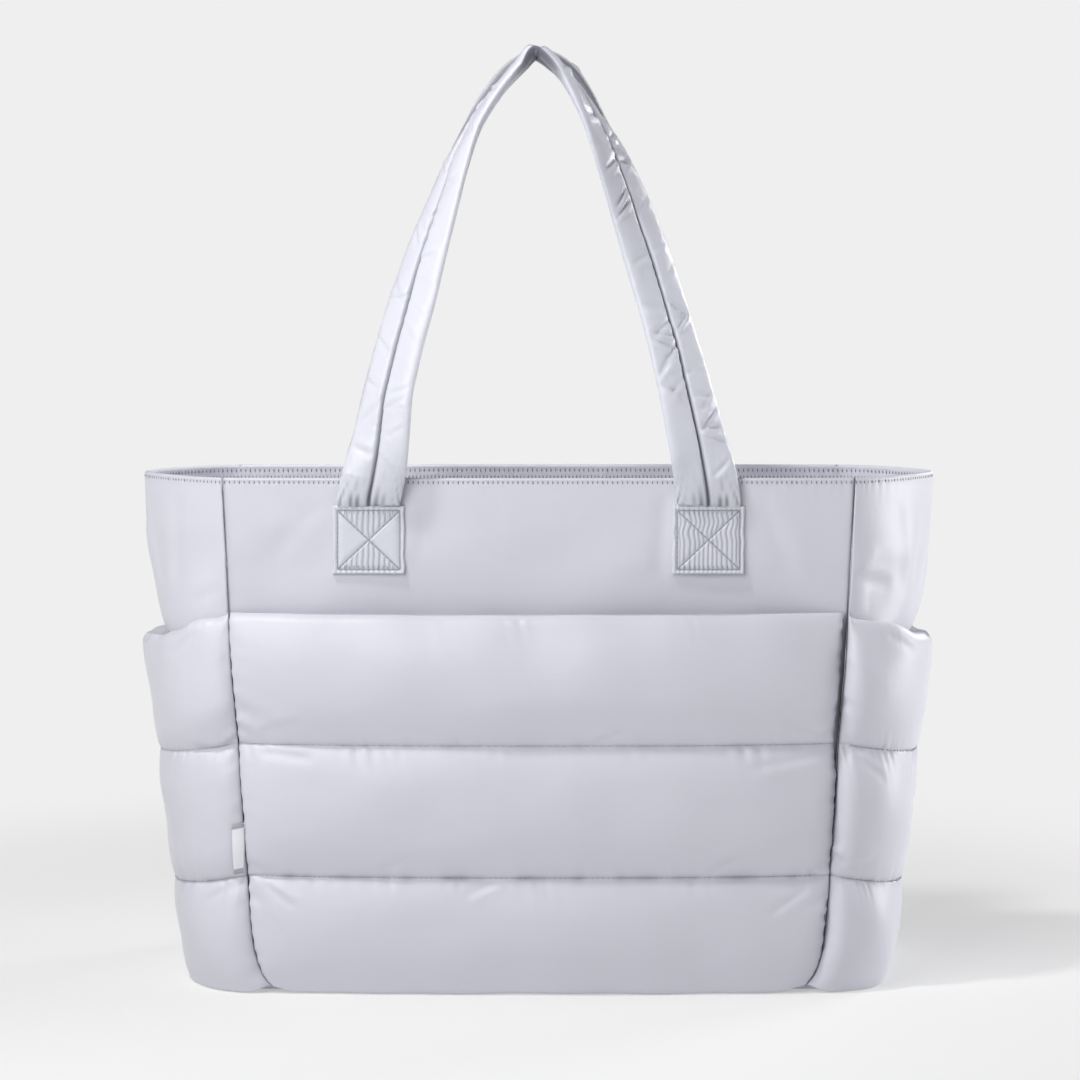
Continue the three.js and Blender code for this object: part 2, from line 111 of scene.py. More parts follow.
# %% Tables of sections
# height, seam, wall reach, pocket reach, front squareness, back squareness, pocket squareness
BODY = np.array([
    [0.0, 0.84, -0.18, 0.0, 2.4, 2.4, 2.4],
    [0.035, 0.872, -0.19, 0.08, 2.4, 2.4, 2.45],
    [0.1, 0.9, -0.2, 0.16, 2.3, 2.3, 2.45],
    [0.2, 0.916, -0.2, 0.27, 2.3, 2.3, 2.4],
    [0.34, 0.931, -0.15, 0.42, 2.2, 2.2, 2.35],
    [0.5, 0.949, -0.02, 0.58, 2.1, 2.1, 2.25],
    [0.57, 0.958, 0.08, 0.67, 2.0, 2.0, 2.15],
    [0.63, 0.967, 0.33, 0.77, 1.85, 1.9, 2.0],
    [0.69, 0.973, 0.65, 0.84, 1.7, 1.8, 1.9],
    [0.75, 0.979, 0.79, 0.88, 1.6, 1.75, 1.85],
    [0.88, 0.99, 0.96, 1.0, 1.4, 1.65, 1.8],
    [1.0, 1.0, 1.0, 1.0, 1.3, 1.6, 1.8],
])
# rise, left, right, lean, left turn, right turn, width, thickness
FRONT_HANDLE = np.array([
    [0.06, 0.972, 0.98, 0.0, 3, 3, 1.0, 1.0],
    [0.123, 0.936, 0.943, 0.01, 22, 22, 1.0, 1.1],
    [0.232, 0.892, 0.877, 0.09, 37, 29, 0.98, 1.2],
    [0.352, 0.818, 0.795, 0.23, 40, 36, 0.97, 1.25],
    [0.45, 0.743, 0.72, 0.35, 42, 39, 0.97, 1.3],
    [0.555, 0.661, 0.633, 0.48, 50, 41, 0.97, 1.3],
    [0.65, 0.577, 0.547, 0.6, 60, 47, 0.97, 1.3],
    [0.756, 0.477, 0.439, 0.73, 71, 58, 0.96, 1.25],
    [0.84, 0.372, 0.334, 0.84, 83, 72, 0.94, 1.2],
    [0.914, 0.237, 0.214, 0.93, 88, 84, 0.92, 1.15],
    [0.97, 0.105, 0.1, 0.98, 91, 93, 0.9, 1.25],
    [1.0, 0.024, -0.024, 1.0, 101, 103, 0.9, 1.2],
])
BACK_HANDLE = np.array([
    [0.06, 0.972, 0.98, 0.0, 3, 3, 1.0, 1.0],
    [0.123, 0.935, 0.942, 0.01, 22, 22, 1.0, 1.1],
    [0.232, 0.89, 0.875, 0.09, 34, 30, 0.97, 1.2],
    [0.352, 0.808, 0.785, 0.23, 40, 38, 0.96, 1.25],
    [0.45, 0.732, 0.709, 0.35, 44, 42, 0.96, 1.25],
    [0.555, 0.65, 0.622, 0.48, 52, 46, 0.96, 1.25],
    [0.65, 0.566, 0.535, 0.6, 62, 54, 0.96, 1.25],
    [0.756, 0.473, 0.437, 0.73, 73, 66, 0.95, 1.2],
    [0.84, 0.389, 0.35, 0.84, 83, 77, 0.93, 1.15],
    [0.914, 0.282, 0.274, 0.93, 88, 86, 0.92, 1.05],
    [0.975, 0.155, 0.16, 0.98, 90, 89, 0.9, 1.0],
    [1.004, 0.0, 0.0, 1.0, 90, 90, 0.9, 1.0],
])


def read_table(table, column, at):
    """The table's column at the shares in at. Between two rows it is a cubic whose slope at a row is
    the harmonic mean of the slopes on both sides, or zero at a turning point."""
    x = table[:, 0]
    y = table[:, column]
    rate = np.diff(y) / np.diff(x)
    before = rate[:-1]
    after = rate[1:]
    rising = before * after > 0
    middle = np.where(rising, 2 * before * after / np.where(rising, before + after, 1.0), 0.0)
    slope = np.concatenate([rate[:1], middle, rate[-1:]])
    at = np.clip(at, x[0], x[-1])
    i = np.clip(np.searchsorted(x, at, side="right") - 1, 0, len(x) - 2)
    span = x[i + 1] - x[i]
    s = (at - x[i]) / span
    level = y[i] + s * s * (3 - 2 * s) * (y[i + 1] - y[i])
    return level + s * (1 - s) ** 2 * span * slope[i] - s * s * (1 - s) * span * slope[i + 1]


def mix(a, b, share):
    """The value that is that share of the way from a to b."""
    return a + (b - a) * share


def body(z):
    """The bag's section sizes at the heights in z."""
    share = np.asarray(z, dtype=float) / BAG_HEIGHT
    return SimpleNamespace(
        seam=read_table(BODY, 1, share) * RIM_SEAM,
        depth=mix(BASE_DEPTH, RIM_DEPTH, share),
        wall=mix(BASE_TIP, RIM_TIP, read_table(BODY, 2, share)),
        pocket=mix(BASE_TIP, RIM_TIP, read_table(BODY, 3, share)),
        front=read_table(BODY, 4, share),
        back=read_table(BODY, 5, share),
        pad=read_table(BODY, 6, share),
    )


print("half width between the side seams at the rim and the floor:", body(300.0).seam, body(0.0).seam)

# %% [markdown]
# ## Curves in plan
# The front and back walls bow out a little. A side wall is sewn between them and folds outwards, and
# its plan is half a superellipse, which goes from a sharp fold to a boxed curve by one exponent.

# %% Functions for the walls' plans


def wall_depth(b, across):
    """Depth of the front or back wall: the section's half depth plus a parabola that is highest in
    the middle. across runs from -1 to 1 between the side seams."""
    return b.depth + PANEL_BOW * (1 - across * across)


def side_curve(b, reach, front, back, angle):
    """Half a superellipse from the front seam (-90 degrees) round to the back seam (90 degrees):
    x = seam + (reach - seam) cos^(2/p) and y = depth sin^(2/p), where p is the squareness."""
    square = np.where(angle < 0, front, back)
    along = np.maximum(np.cos(angle), 0.0) ** (2 / square)
    deep = np.sign(angle) * np.abs(np.sin(angle)) ** (2 / square)
    return b.seam + (reach - b.seam) * along, b.depth * deep


def side_point(b, reach, front, back, angle, offset):
    """The side curve moved out by offset along its normal, which is taken from a chord of 2 degrees
    and points straight along Y at the two seams."""
    step = math.radians(1)
    x, y = side_curve(b, reach, front, back, angle)
    xa, ya = side_curve(b, reach, front, back, np.maximum(angle - step, -math.pi / 2))
    xb, yb = side_curve(b, reach, front, back, np.minimum(angle + step, math.pi / 2))
    run_x = xb - xa
    run_y = yb - ya
    size = np.hypot(run_x, run_y) + 1e-9
    at_seam = np.abs(angle) > math.pi / 2 - step
    out_x = np.where(at_seam, 0.0, run_y / size)
    out_y = np.where(at_seam, np.sign(angle), -run_x / size)
    return x + out_x * offset, y + out_y * offset


# %% [markdown]
# ## Tools for cloth surfaces
# Cloth could be modelled by hand, or draped over a form. Here each piece is a grid of points, because
# a grid can follow the sewing pattern: one direction runs along the cloth and one up it. The outer and
# inner grids of a piece are joined round their edges, so each piece is a closed body.

# %% Grids to meshes


def grid_faces(rows, columns):
    """Four-cornered faces of a closed slab: the outer grid, the inner grid turned over, and four
    strips round the edges. Also returns how many of them are on the outer grid."""
    at = np.arange(rows * columns).reshape(rows, columns)
    deep = at + rows * columns

    def quads(*corners):
        return np.stack([c.ravel() for c in corners], axis=1)

    outer = quads(at[:-1, :-1], at[:-1, 1:], at[1:, 1:], at[1:, :-1])
    inner = quads(deep[:-1, :-1], deep[1:, :-1], deep[1:, 1:], deep[:-1, 1:])
    left = quads(at[:-1, 0], at[1:, 0], deep[1:, 0], deep[:-1, 0])
    right = quads(at[1:, -1], at[:-1, -1], deep[:-1, -1], deep[1:, -1])
    foot = quads(at[0, 1:], at[0, :-1], deep[0, :-1], deep[0, 1:])
    top = quads(at[-1, :-1], at[-1, 1:], deep[-1, 1:], deep[-1, :-1])
    return np.concatenate([outer, inner, left, right, foot, top]), len(outer)


def volume_of(points, faces):
    """Signed volume of a closed mesh: a sixth of the sum of a . (b x c) over its triangles."""
    a, b, c, d = (points[faces[:, k]] for k in range(4))
    first = np.einsum("ij,ij->i", a, np.cross(b, c)).sum()
    second = np.einsum("ij,ij->i", a, np.cross(c, d)).sum()
    return (first + second) / 6


def make_mesh(name, points, faces, uv=None, slots=None, marks=None):
    """Puts a mesh of four-cornered faces into the scene. points are in millimetres, uv in metres of
    cloth for each point or each corner, slots gives each face's material and marks is a number for
    each point."""
    points = np.asarray(points, dtype=float).reshape(-1, 3)
    if uv is not None and np.shape(uv)[:2] != faces.shape:
        uv = np.reshape(uv, (-1, 2))[faces]
    if volume_of(points, faces) < 0:
        faces = faces[:, ::-1]
        uv = None if uv is None else uv[:, ::-1]
    mesh = bpy.data.meshes.new(name)
    mesh.vertices.add(len(points))
    mesh.vertices.foreach_set("co", (points * MM).ravel())
    mesh.loops.add(faces.size)
    mesh.loops.foreach_set("vertex_index", faces.ravel())
    mesh.polygons.add(len(faces))
    mesh.polygons.foreach_set("loop_start", np.arange(0, faces.size, 4))
    if slots is not None:
        mesh.polygons.foreach_set("material_index", slots)
    mesh.polygons.foreach_set("use_smooth", np.ones(len(faces), dtype=bool))
    if uv is not None:
        layer = mesh.uv_layers.new(name="cloth")
        layer.data.foreach_set("uv", np.ascontiguousarray(uv).ravel())
    if marks is not None:
        # The gather attribute holds each point's marks: greyer cloth at stitches, and painted shade
        layer = mesh.attributes.new("gather", "FLOAT", "POINT")
        layer.data.foreach_set("value", np.asarray(marks, dtype=float).ravel())
    mesh.update(calc_edges=True)
    mesh.validate()
    made = bpy.data.objects.new(name, mesh)
    scene.collection.objects.link(made)
    return made


def grid_of(x, y, z):
    """A grid of points from its three coordinates, each spread over the whole grid."""
    return np.stack(np.broadcast_arrays(x, y, z), axis=2)


def unit(vectors):
    """The vectors at length 1."""
    return vectors / (np.linalg.norm(vectors, axis=-1, keepdims=True) + 1e-12)


def walked(points):
    """Distance walked along a line of points to each of them."""
    step = np.linalg.norm(np.diff(points, axis=0), axis=1)
    return np.concatenate([[0.0], np.cumsum(step)])


def cloth_lengths(grid):
    """Cloth coordinates of a grid in metres: the distance walked along each row and up each column."""
    along = np.linalg.norm(np.diff(grid, axis=1), axis=2)
    up = np.linalg.norm(np.diff(grid, axis=0), axis=2)
    u = np.concatenate([np.zeros((len(grid), 1)), np.cumsum(along, axis=1)], axis=1)
    u = u - u.mean(axis=1, keepdims=True)
    v = np.concatenate([np.zeros((1, grid.shape[1])), np.cumsum(up, axis=0)], axis=0)
    return np.stack([u, v], axis=2) * MM


def slab(name, outer, inner, marks):
    """A closed cloth piece between an outer and an inner grid of points. Its second material slot is
    for the inner face."""
    rows, columns = outer.shape[:2]
    faces, count = grid_faces(rows, columns)
    slots = np.zeros(len(faces), dtype=int)
    slots[count:2 * count] = 1
    uv = cloth_lengths(outer)
    both = np.concatenate([outer.reshape(-1, 3), inner.reshape(-1, 3)])
    made = make_mesh(name, both, faces, np.concatenate([uv, uv]), slots, np.concatenate([marks, marks]))
    made["flat_width"] = float(uv[:, -1, 0].mean() - uv[:, 0, 0].mean())
    made["flat_length"] = float(uv[-1, :, 1].mean())
    return made


def normals(grid, side):
    """Unit normals of a grid, from the cross product of its two directions. side is 1 or -1 and
    picks the way they point."""
    return side * unit(np.cross(np.gradient(grid, axis=1), np.gradient(grid, axis=0)))


# %% [markdown]
# ## Tools for wrinkles
# Sewn taffeta is never smooth. Beside a seam it gathers into small puckers, and on a wall it lies in
# long soft waves. Both could be painted as bump, but the outline would stay smooth, so here they move
# the surface itself. Each is a sum of a few waves whose lengths and phases come from a seeded list.

# %% Functions for rolls, waves and puckers


def crowd(q):
    """Shares that crowd towards both ends: half of q and half of (1 - cos(pi q)) / 2."""
    return 0.5 * q + 0.25 * (1 - np.cos(math.pi * q))


def roll(distance, width):
    """Height share of a rolled edge, a quarter circle over that width: sqrt(1 - (1 - s)^2)."""
    s = np.clip(distance / width, 0, 1)
    return np.sqrt(1 - (1 - s) ** 2)


def edge_share(far, least, width):
    """Share of the full thickness beside an edge: least at the edge, then a quarter circle up to 1."""
    return least + (1 - least) * roll(far, width)


def ripple(along, seed, shortest, longest, count=14):
    """Waves along a line: a sum of cosines with seeded lengths and phases, about 1 high."""
    pick = np.random.default_rng(seed)
    length = pick.uniform(shortest, longest, count)
    phase = pick.uniform(0, 2 * math.pi, count)
    along = np.asarray(along, dtype=float)[..., None]
    return np.cos(2 * math.pi * along / length + phase).sum(axis=-1) / math.sqrt(count / 2)


def waves(x, y, seed, shortest, longest, count=16):
    """Soft waves over a surface: the same sum, with a seeded direction for each cosine."""
    pick = np.random.default_rng(seed)
    length = pick.uniform(shortest, longest, count)
    phase = pick.uniform(0, 2 * math.pi, count)
    way = pick.uniform(0, math.pi, count)
    x = np.asarray(x, dtype=float)[..., None]
    y = np.asarray(y, dtype=float)[..., None]
    turn = 2 * math.pi * (x * np.cos(way) + y * np.sin(way)) / length + phase
    return np.cos(turn).sum(axis=-1) / math.sqrt(count / 2)


def puckers(along, distance, seed, reach, size, shortest=5.0, longest=16.0, slant=0.25):
    """Gathers beside a seam: waves along the seam that lean a little and fade with distance."""
    far = np.abs(distance)
    wave = ripple(along + slant * distance, seed, shortest, longest)
    patch = 0.55 + 0.45 * ripple(along, seed + 50, 40.0, 120.0, 6)
    return size * wave * patch * np.exp(-far / reach)


def crease(x, y, start, end, width, depth):
    """One pressed fold along a line from start to end: a narrow valley with a ridge beside it, that
    fades out at both ends."""
    sx, sy = start
    run = np.array(end, dtype=float) - np.array(start, dtype=float)
    size = math.hypot(*run)
    along = ((x - sx) * run[0] + (y - sy) * run[1]) / (size * size)
    off = ((x - sx) * -run[1] + (y - sy) * run[0]) / size
    fade = np.clip(np.minimum(along, 1 - along) * 4, 0, 1)
    fade = fade * fade * (3 - 2 * fade)
    valley = np.exp(-(off / width) ** 2)
    ridge = np.exp(-((off - 1.6 * width) / (1.3 * width)) ** 2)
    return depth * fade * (0.6 * ridge - valley)


def creased(relief, x, y, creases):
    """The relief with creases added to it. Each one is given as start, end, width and depth."""
    for start, end, width, depth in creases:
        relief = relief + crease(x, y, start, end, width, depth)
    return relief


# %% [markdown]
# ## Finishes
# The shell is nylon taffeta with a satin calender finish. Nylon gives the eye a pale diffuse colour
# and a broad soft highlight, and the calendered yarns make it shinier on the padded handles. Its
# threads are about 0.1 mm wide, too fine to show, so the weave is drawn at 0.9 mm and very shallow.

# %% Colours and the node helper


def linear(code):
    """An sRGB hex colour as linear red, green, blue and alpha: ((c + 0.055) / 1.055)^2.4."""
    parts = [int(code[k:k + 2], 16) / 255 for k in (0, 2, 4)]
    return [c / 12.92 if c <= 0.04045 else ((c + 0.055) / 1.055) ** 2.4 for c in parts] + [1.0]


def add(tree, kind, settings=None, inputs=None):
    """Adds a node of a kind, with its settings, and its inputs as values or as sockets to link."""
    node = tree.nodes.new(kind)
    for name, value in (settings or {}).items():
        setattr(node, name, value)
    for name, value in (inputs or {}).items():
        if isinstance(value, bpy.types.NodeSocket):
            tree.links.new(value, node.inputs[name])
        else:
            node.inputs[name].default_value = value
    return node


def bare_tree(owner):
    """The node tree of a material or a world, emptied."""
    owner.use_nodes = True
    owner.node_tree.nodes.clear()
    return owner.node_tree


NYLON_IOR = 1.53


def woven(name, light, shade, stitch_and_shade_tone, finish):
    """A woven cloth. light and shade are its two tones, which noise mixes at random. The third colour
    is the darker tone that the marks mix in: greyer cloth at stitches, and painted shade in gaps,
    grooves and folds. finish holds its roughness, sheen, specular level, and the depths of its weave and
    crumple."""
    material = bpy.data.materials.new(name)
    tree = bare_tree(material)
    cloth = add(tree, "ShaderNodeUVMap", {"uv_map": "cloth"}).outputs["UV"]
    marks = add(tree, "ShaderNodeAttribute", {"attribute_name": "gather"}).outputs["Fac"]
    where = add(tree, "ShaderNodeTexCoord").outputs["Object"]
    patchy = add(tree, "ShaderNodeTexNoise", inputs={"Vector": where, "Scale": 14.0, "Detail": 3.0})
    tone = add(tree, "ShaderNodeMix", {"data_type": "RGBA"}, {"Factor": patchy.outputs["Fac"]})
    tone.inputs[6].default_value = linear(light)
    tone.inputs[7].default_value = linear(shade)
    # The marks mix in the darker tone: greyer cloth at stitches, and painted shade in gaps, grooves and
    # folds
    stitch_and_shade_mix = add(tree, "ShaderNodeMix", {"data_type": "RGBA"}, {"Factor": marks})
    tree.links.new(tone.outputs[2], stitch_and_shade_mix.inputs[6])
    stitch_and_shade_mix.inputs[7].default_value = linear(stitch_and_shade_tone)
    # Two bands of threads at right angles, and the slight unevenness of their yarns
    pitch = finish["thread"] * MM
    warp, weft = (add(tree, "ShaderNodeTexWave", {"bands_direction": way},
                      {"Vector": cloth, "Scale": 1 / (pitch * 20), "Distortion": 0.4, "Detail": 1.0})
                  for way in "XY")
    threads = add(tree, "ShaderNodeMath", {"operation": "MULTIPLY"},
                  {0: warp.outputs["Fac"], 1: weft.outputs["Fac"]})
    fine = add(tree, "ShaderNodeBump",
               inputs={"Height": threads.outputs[0], "Strength": 1.0, "Distance": finish["weave"] * MM})
    # Small crumples, a centimetre or so across, that the filling leaves in the thin cloth
    crumple = add(tree, "ShaderNodeTexNoise",
                  inputs={"Vector": where, "Scale": 1 / (finish["crumple_size"] * MM),
                          "Detail": 3.0, "Roughness": 0.42, "Distortion": 0.6})
    soft = add(tree, "ShaderNodeBump",
               inputs={"Height": crumple.outputs["Fac"], "Strength": 1.0,
                       "Distance": finish["crumple"] * MM, "Normal": fine.outputs["Normal"]})
    gloss = add(tree, "ShaderNodeMapRange", inputs={"Value": crumple.outputs["Fac"]})
    gloss.inputs["To Min"].default_value = finish["roughness"] - 0.05
    gloss.inputs["To Max"].default_value = finish["roughness"] + 0.05
    surface = add(tree, "ShaderNodeBsdfPrincipled",
                  inputs={"Base Color": stitch_and_shade_mix.outputs[2], "Roughness": gloss.outputs["Result"],
                          "Normal": soft.outputs["Normal"], "IOR": NYLON_IOR,
                          "Specular IOR Level": finish["specular"], "Sheen Weight": finish["sheen"],
                          "Sheen Roughness": 0.4})
    add(tree, "ShaderNodeOutputMaterial", inputs={"Surface": surface.outputs["BSDF"]})
    return material


# %% [markdown]
# The cloths differ in gloss more than in colour: the shell is satin, the handles shinier, the inside
# dull. Each has a darker tone that marks mix in: greyer cloth along the stitching, and painted shade
# in gaps, grooves and folds and under the handles' tops.

# %% The cloths
shell_cloth = woven("satin_nylon_taffeta", "D2D3DD", "CCCDD7", "9293A0",
                    {"roughness": 0.44, "sheen": 0.15, "specular": 0.5, "thread": 0.9, "weave": 0.012,
                     "crumple_size": 26.0, "crumple": 0.5})
strap_cloth = woven("calendered_nylon_taffeta", "D6D7E1", "CFD1DC", "7C7D88",
                    {"roughness": 0.38, "sheen": 0.1, "specular": 0.5, "thread": 0.9, "weave": 0.006,
                     "crumple_size": 13.0, "crumple": 0.7})
lining_cloth = woven("matt_polyester_lining", "E4E5EE", "DCDDE7", "BBBCC8",
                     {"roughness": 0.62, "sheen": 0.1, "specular": 0.4, "thread": 1.1, "weave": 0.02,
                      "crumple_size": 22.0, "crumple": 0.5})
label_cloth = woven("white_satin_ribbon", "F0F0F5", "EAEAF1", "A4A5B0",
                    {"roughness": 0.4, "sheen": 0.1, "specular": 0.5, "thread": 0.7, "weave": 0.015,
                     "crumple_size": 9.0, "crumple": 0.05})
yarn = {"roughness": 0.5, "sheen": 0.2, "specular": 0.5, "thread": 0.5, "weave": 0.03,
        "crumple_size": 4.0, "crumple": 0.05}
# This thread is drawn far darker than the cloth, as painted shade of the needle holes round its stitches
hole_shade_thread = woven("polyester_thread_dark_as_hole_shade", "8F909C", "858692", "777884", yarn)
quilting_yarn = woven("pale_polyester_thread", "BCBDC9", "B2B3BF", "9C9DA9", yarn)


def dress(piece, slot, *cloths):
    """Gives a piece its cloths and fixes it to the bag's body. slot is not used."""
    for cloth in cloths:
        piece.data.materials.append(cloth)
    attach(piece, "root")
    print(piece.name, "has", len(piece.data.polygons) * 2, "triangles")
    return piece


# %% [markdown]
# ## Walls
# The front wall is a plain lined panel. Its rim is turned over and topstitched, so the cloth dips
# along that line and gathers across it. Its side edges roll in to meet the side walls at a seam. The
# wall could be a flat plane with thickness, but it bows, narrows and leans, so it is a grid.

# %% The rim's hem
HEM_STITCH = 2.7
HEM_DIP = 0.22
EDGE_WIDTH = 1.1
EDGE_THIN = 0.12


def wall_heights():
    """Heights of a wall's rows: 3 mm apart, and 0.75 mm apart in the hem."""
    low = np.linspace(WALL_FOOT, HEM_START, 96)
    return np.concatenate([low[:-1], np.linspace(HEM_START, BAG_HEIGHT, 17)])[:, None]


def hem_relief(z, along, seed):
    """How far the hem moves out: a shallow valley along the stitch line, and gathers that cross it,
    fade below and leave the rim itself straight."""
    below_rim = BAG_HEIGHT - z
    valley = -HEM_DIP * np.exp(-((below_rim - HEM_STITCH) / 0.9) ** 2)
    near = np.exp(-(np.maximum(below_rim - HEM_STITCH, 0) / 4.0))
    gathers = 0.13 * ripple(along, seed, 4.5, 9.0) * near * np.clip((below_rim - 1) / 2, 0, 1)
    return valley + gathers


def walled(name, outer, side, marks):
    """A cloth wall inside an outer grid, thinned to a round edge at its sides and its rim."""
    out = normals(outer, side)
    walk = cloth_lengths(outer) / MM
    from_side = np.minimum(walk[..., 0] - walk[:, :1, 0], walk[:, -1:, 0] - walk[..., 0])
    from_rim = walk[-1:, :, 1] - walk[..., 1]
    share = edge_share(np.minimum(from_side, from_rim), EDGE_THIN, EDGE_WIDTH)
    half = (WALL / 2 * share)[..., None]
    middle = outer - out * WALL / 2
    return slab(name, middle + out * half, middle - out * half, marks)


def gather_marks(z, seam_far):
    """Greyer cloth in the hem, and beside the side seams, where it fades over 1 mm."""
    in_hem = 0.2 * np.exp(-np.abs(BAG_HEIGHT - z - HEM_STITCH) / 1.2)
    return np.maximum(in_hem, np.exp(-np.abs(seam_far)))


def off_facing(z):
    """Share of the wall's soft waves at a height: none where the facing lies behind the wall."""
    return np.clip((BAG_HEIGHT - FACING_DEPTH - z) / 22, 0, 1)


# %% The front wall
across = crowd(np.linspace(0, 1, 161))[None, :] * 2 - 1
height = wall_heights()
level = body(height)
front_x = across * (level.seam - SEAM_GAP / 2)
seam_far = (1 - np.abs(across)) * level.seam
fade = np.clip(seam_far / 30, 0, 1) * off_facing(height)
relief = 0.9 * waves(front_x, height, 11, 70, 170) * fade
relief = relief + hem_relief(height, front_x, 12)
relief = relief + puckers(height, seam_far, 13, 6.0, 0.1, 6, 18)
# The handles' feet press soft upright folds into the cloth beside them
foot_folds = [
    ((74, 296), (70, 236), 5.0, 0.9), ((-72, 290), (-78, 246), 5.0, -0.5),
    ((128, 292), (150, 238), 6.0, 0.5), ((-126, 288), (-160, 250), 6.0, 0.4),
]
relief = creased(relief, front_x, height, foot_folds)
front_grid = grid_of(front_x, -(wall_depth(level, across) + relief), height)
front_wall = walled("front_wall", front_grid, 1, gather_marks(height, seam_far))
dress(front_wall, "shell", shell_cloth, lining_cloth)
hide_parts("front_panel")

# %% [markdown]
# ## Side walls
# Each side wall is one strip of cloth from the front seam round to the back seam. It is boxed where
# the pocket holds it and folds sharply at the rim, and cloth that folds like that hangs in long waves.

# %% The two side walls


def side_wall(name, node, side, seed, folds):
    """A side wall's grid: the side curve at every height, with waves and the hem's relief."""
    angle = (math.pi * (np.linspace(0, 1, 141) - 0.5))[None, :]
    z = wall_heights()
    b = body(z)
    from_seam = (math.pi / 2 - np.abs(angle)) * b.depth
    still = np.clip(from_seam / 25, 0, 1)
    move = 1.1 * waves(angle * 70, z, seed, 45, 140) * still * off_facing(z)
    move = move + hem_relief(z, angle * 70, seed + 1)
    move = move + puckers(z, from_seam, seed + 2, 6.0, 0.1, 6, 18)
    # Soft folds that run down from the rim's tip, and level ones above the pocket's mouth
    move = creased(move, angle * 70, z, folds)
    x, y = side_point(b, b.wall, b.front, b.back, angle, move)
    piece = walled(name, grid_of(side * (x + SEAM_GAP / 2), y, z), side, gather_marks(z, from_seam))
    dress(piece, "shell", shell_cloth, lining_cloth)
    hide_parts(node)


tip_folds = [((-60, 292), (-52, 226), 6.0, 0.8), ((-24, 288), (-38, 228), 7.0, 0.8)]
left_folds = [((-104, 236), (-70, 227), 3.0, 0.6)]
right_folds = [((-106, 243), (-58, 235), 3.4, 1.0), ((-100, 252), (-80, 249), 2.2, 0.35)]
side_wall("left_side_wall", "left_gusset", -1, 21, tip_folds + left_folds)
side_wall("right_side_wall", "right_gusset", 1, 31, tip_folds + right_folds)

# %% [markdown]
# ## Quilted pads
# A puffer pocket is two layers of taffeta with loose filling, sewn through along level seams. The air
# in the filling swells each channel to a crown and the cloth gathers along each seam. A pad could be
# sculpted, but cloth simulation gives the true swelling, so each pad starts a little flat, its seams
# and edges are pinned, and air pressure swells it for twenty steps. The seams' fine gathers are
# narrower than the simulated cloth's mesh, so they are worked out afterwards on a finer grid.

# %% The pads' rows
SEAM_HEIGHTS = [LOWER_SEAM, UPPER_SEAM, POCKET_HEIGHT]
CHANNELS = 3
START_SHARE = 0.8
LEFT_HELD = 0.8
RIGHT_HELD = 0.55
BACK_HELD = 0.4
CORNER_LIFT = 4.0
RIGHT_PULL = 2.8
PULL_START = UPPER_SEAM - 15
RAGGED = 0.5
ROWS_A_CHANNEL = 14


def corner_lift(z, far):
    """How far a pad's bottom corner is drawn up by its side seam, fading within a centimetre."""
    return CORNER_LIFT * np.exp(-(far / 9) ** 2 - np.maximum(z, 0) / 9)


def quilt_rows(count, floor):
    """Rows of a pad with count rows in each channel: the height, a side pocket's dip, the arc's
    share of the puff and the distance to the nearest seam."""
    q = np.linspace(0, CHANNELS, CHANNELS * count + 1)
    k = np.minimum(q.astype(int), CHANNELS - 1)
    s = crowd(q - k)
    low = np.array([floor] + SEAM_HEIGHTS[:-1])[k]
    high = np.array(SEAM_HEIGHTS)[k]
    dips = np.array([0.0, SEAM_DIP, SEAM_DIP, MOUTH_DIP])
    arc = np.where(k == 0, mix(FLOOR_CUT, 1.0, s), s)
    z = mix(low, high, s)
    mouth = POCKET_HEIGHT - z
    thin = mix(SEWN_EDGE, QUILTED_SEAM, np.clip(mouth / 4, 0, 1))
    nearest = np.min(np.abs(z[:, None] - np.array([LOWER_SEAM, UPPER_SEAM])), axis=1)
    return SimpleNamespace(
        z=z[:, None], dip=mix(dips[k], dips[k + 1], s)[:, None], arc=arc[:, None], thin=thin[:, None],
        mouth=mouth[:, None], seam_far=nearest[:, None], offset=(z - low)[:, None],
        channel=k[:, None], count=count,
    )


def thickness(rows, crown, edge):
    """A pad's thickness: the sewn edge, plus the rest of the quilting seam and of the channel's
    arc, sin(pi s)^0.55, both times the share that the side edges leave."""
    puff = np.abs(np.sin(math.pi * rows.arc)) ** 0.55
    return SEWN_EDGE + edge * (rows.thin - SEWN_EDGE + (crown - rows.thin) * puff)


# %% The cloth simulation
AIR_STEPS = 20
AIR_REACH = 9.0
EASINGS = 7


def between(grid, factor, axis):
    """A grid with factor times as many steps along an axis, on Catmull-Rom cubics."""
    grid = np.moveaxis(grid, axis, 0)
    padded = np.concatenate([2 * grid[:1] - grid[1:2], grid, 2 * grid[-1:] - grid[-2:-1]])
    at = np.arange((len(grid) - 1) * factor + 1) / factor
    i = np.minimum(at.astype(int), len(grid) - 2)
    s = (at - i).reshape([-1] + [1] * (grid.ndim - 1))
    a, b, c, d = (padded[i + k] for k in range(4))
    curve = b + 0.5 * s * (c - a + s * (2 * a - 5 * b + 4 * c - d + s * (3 * (b - c) + d - a)))
    return np.moveaxis(curve, 0, axis)


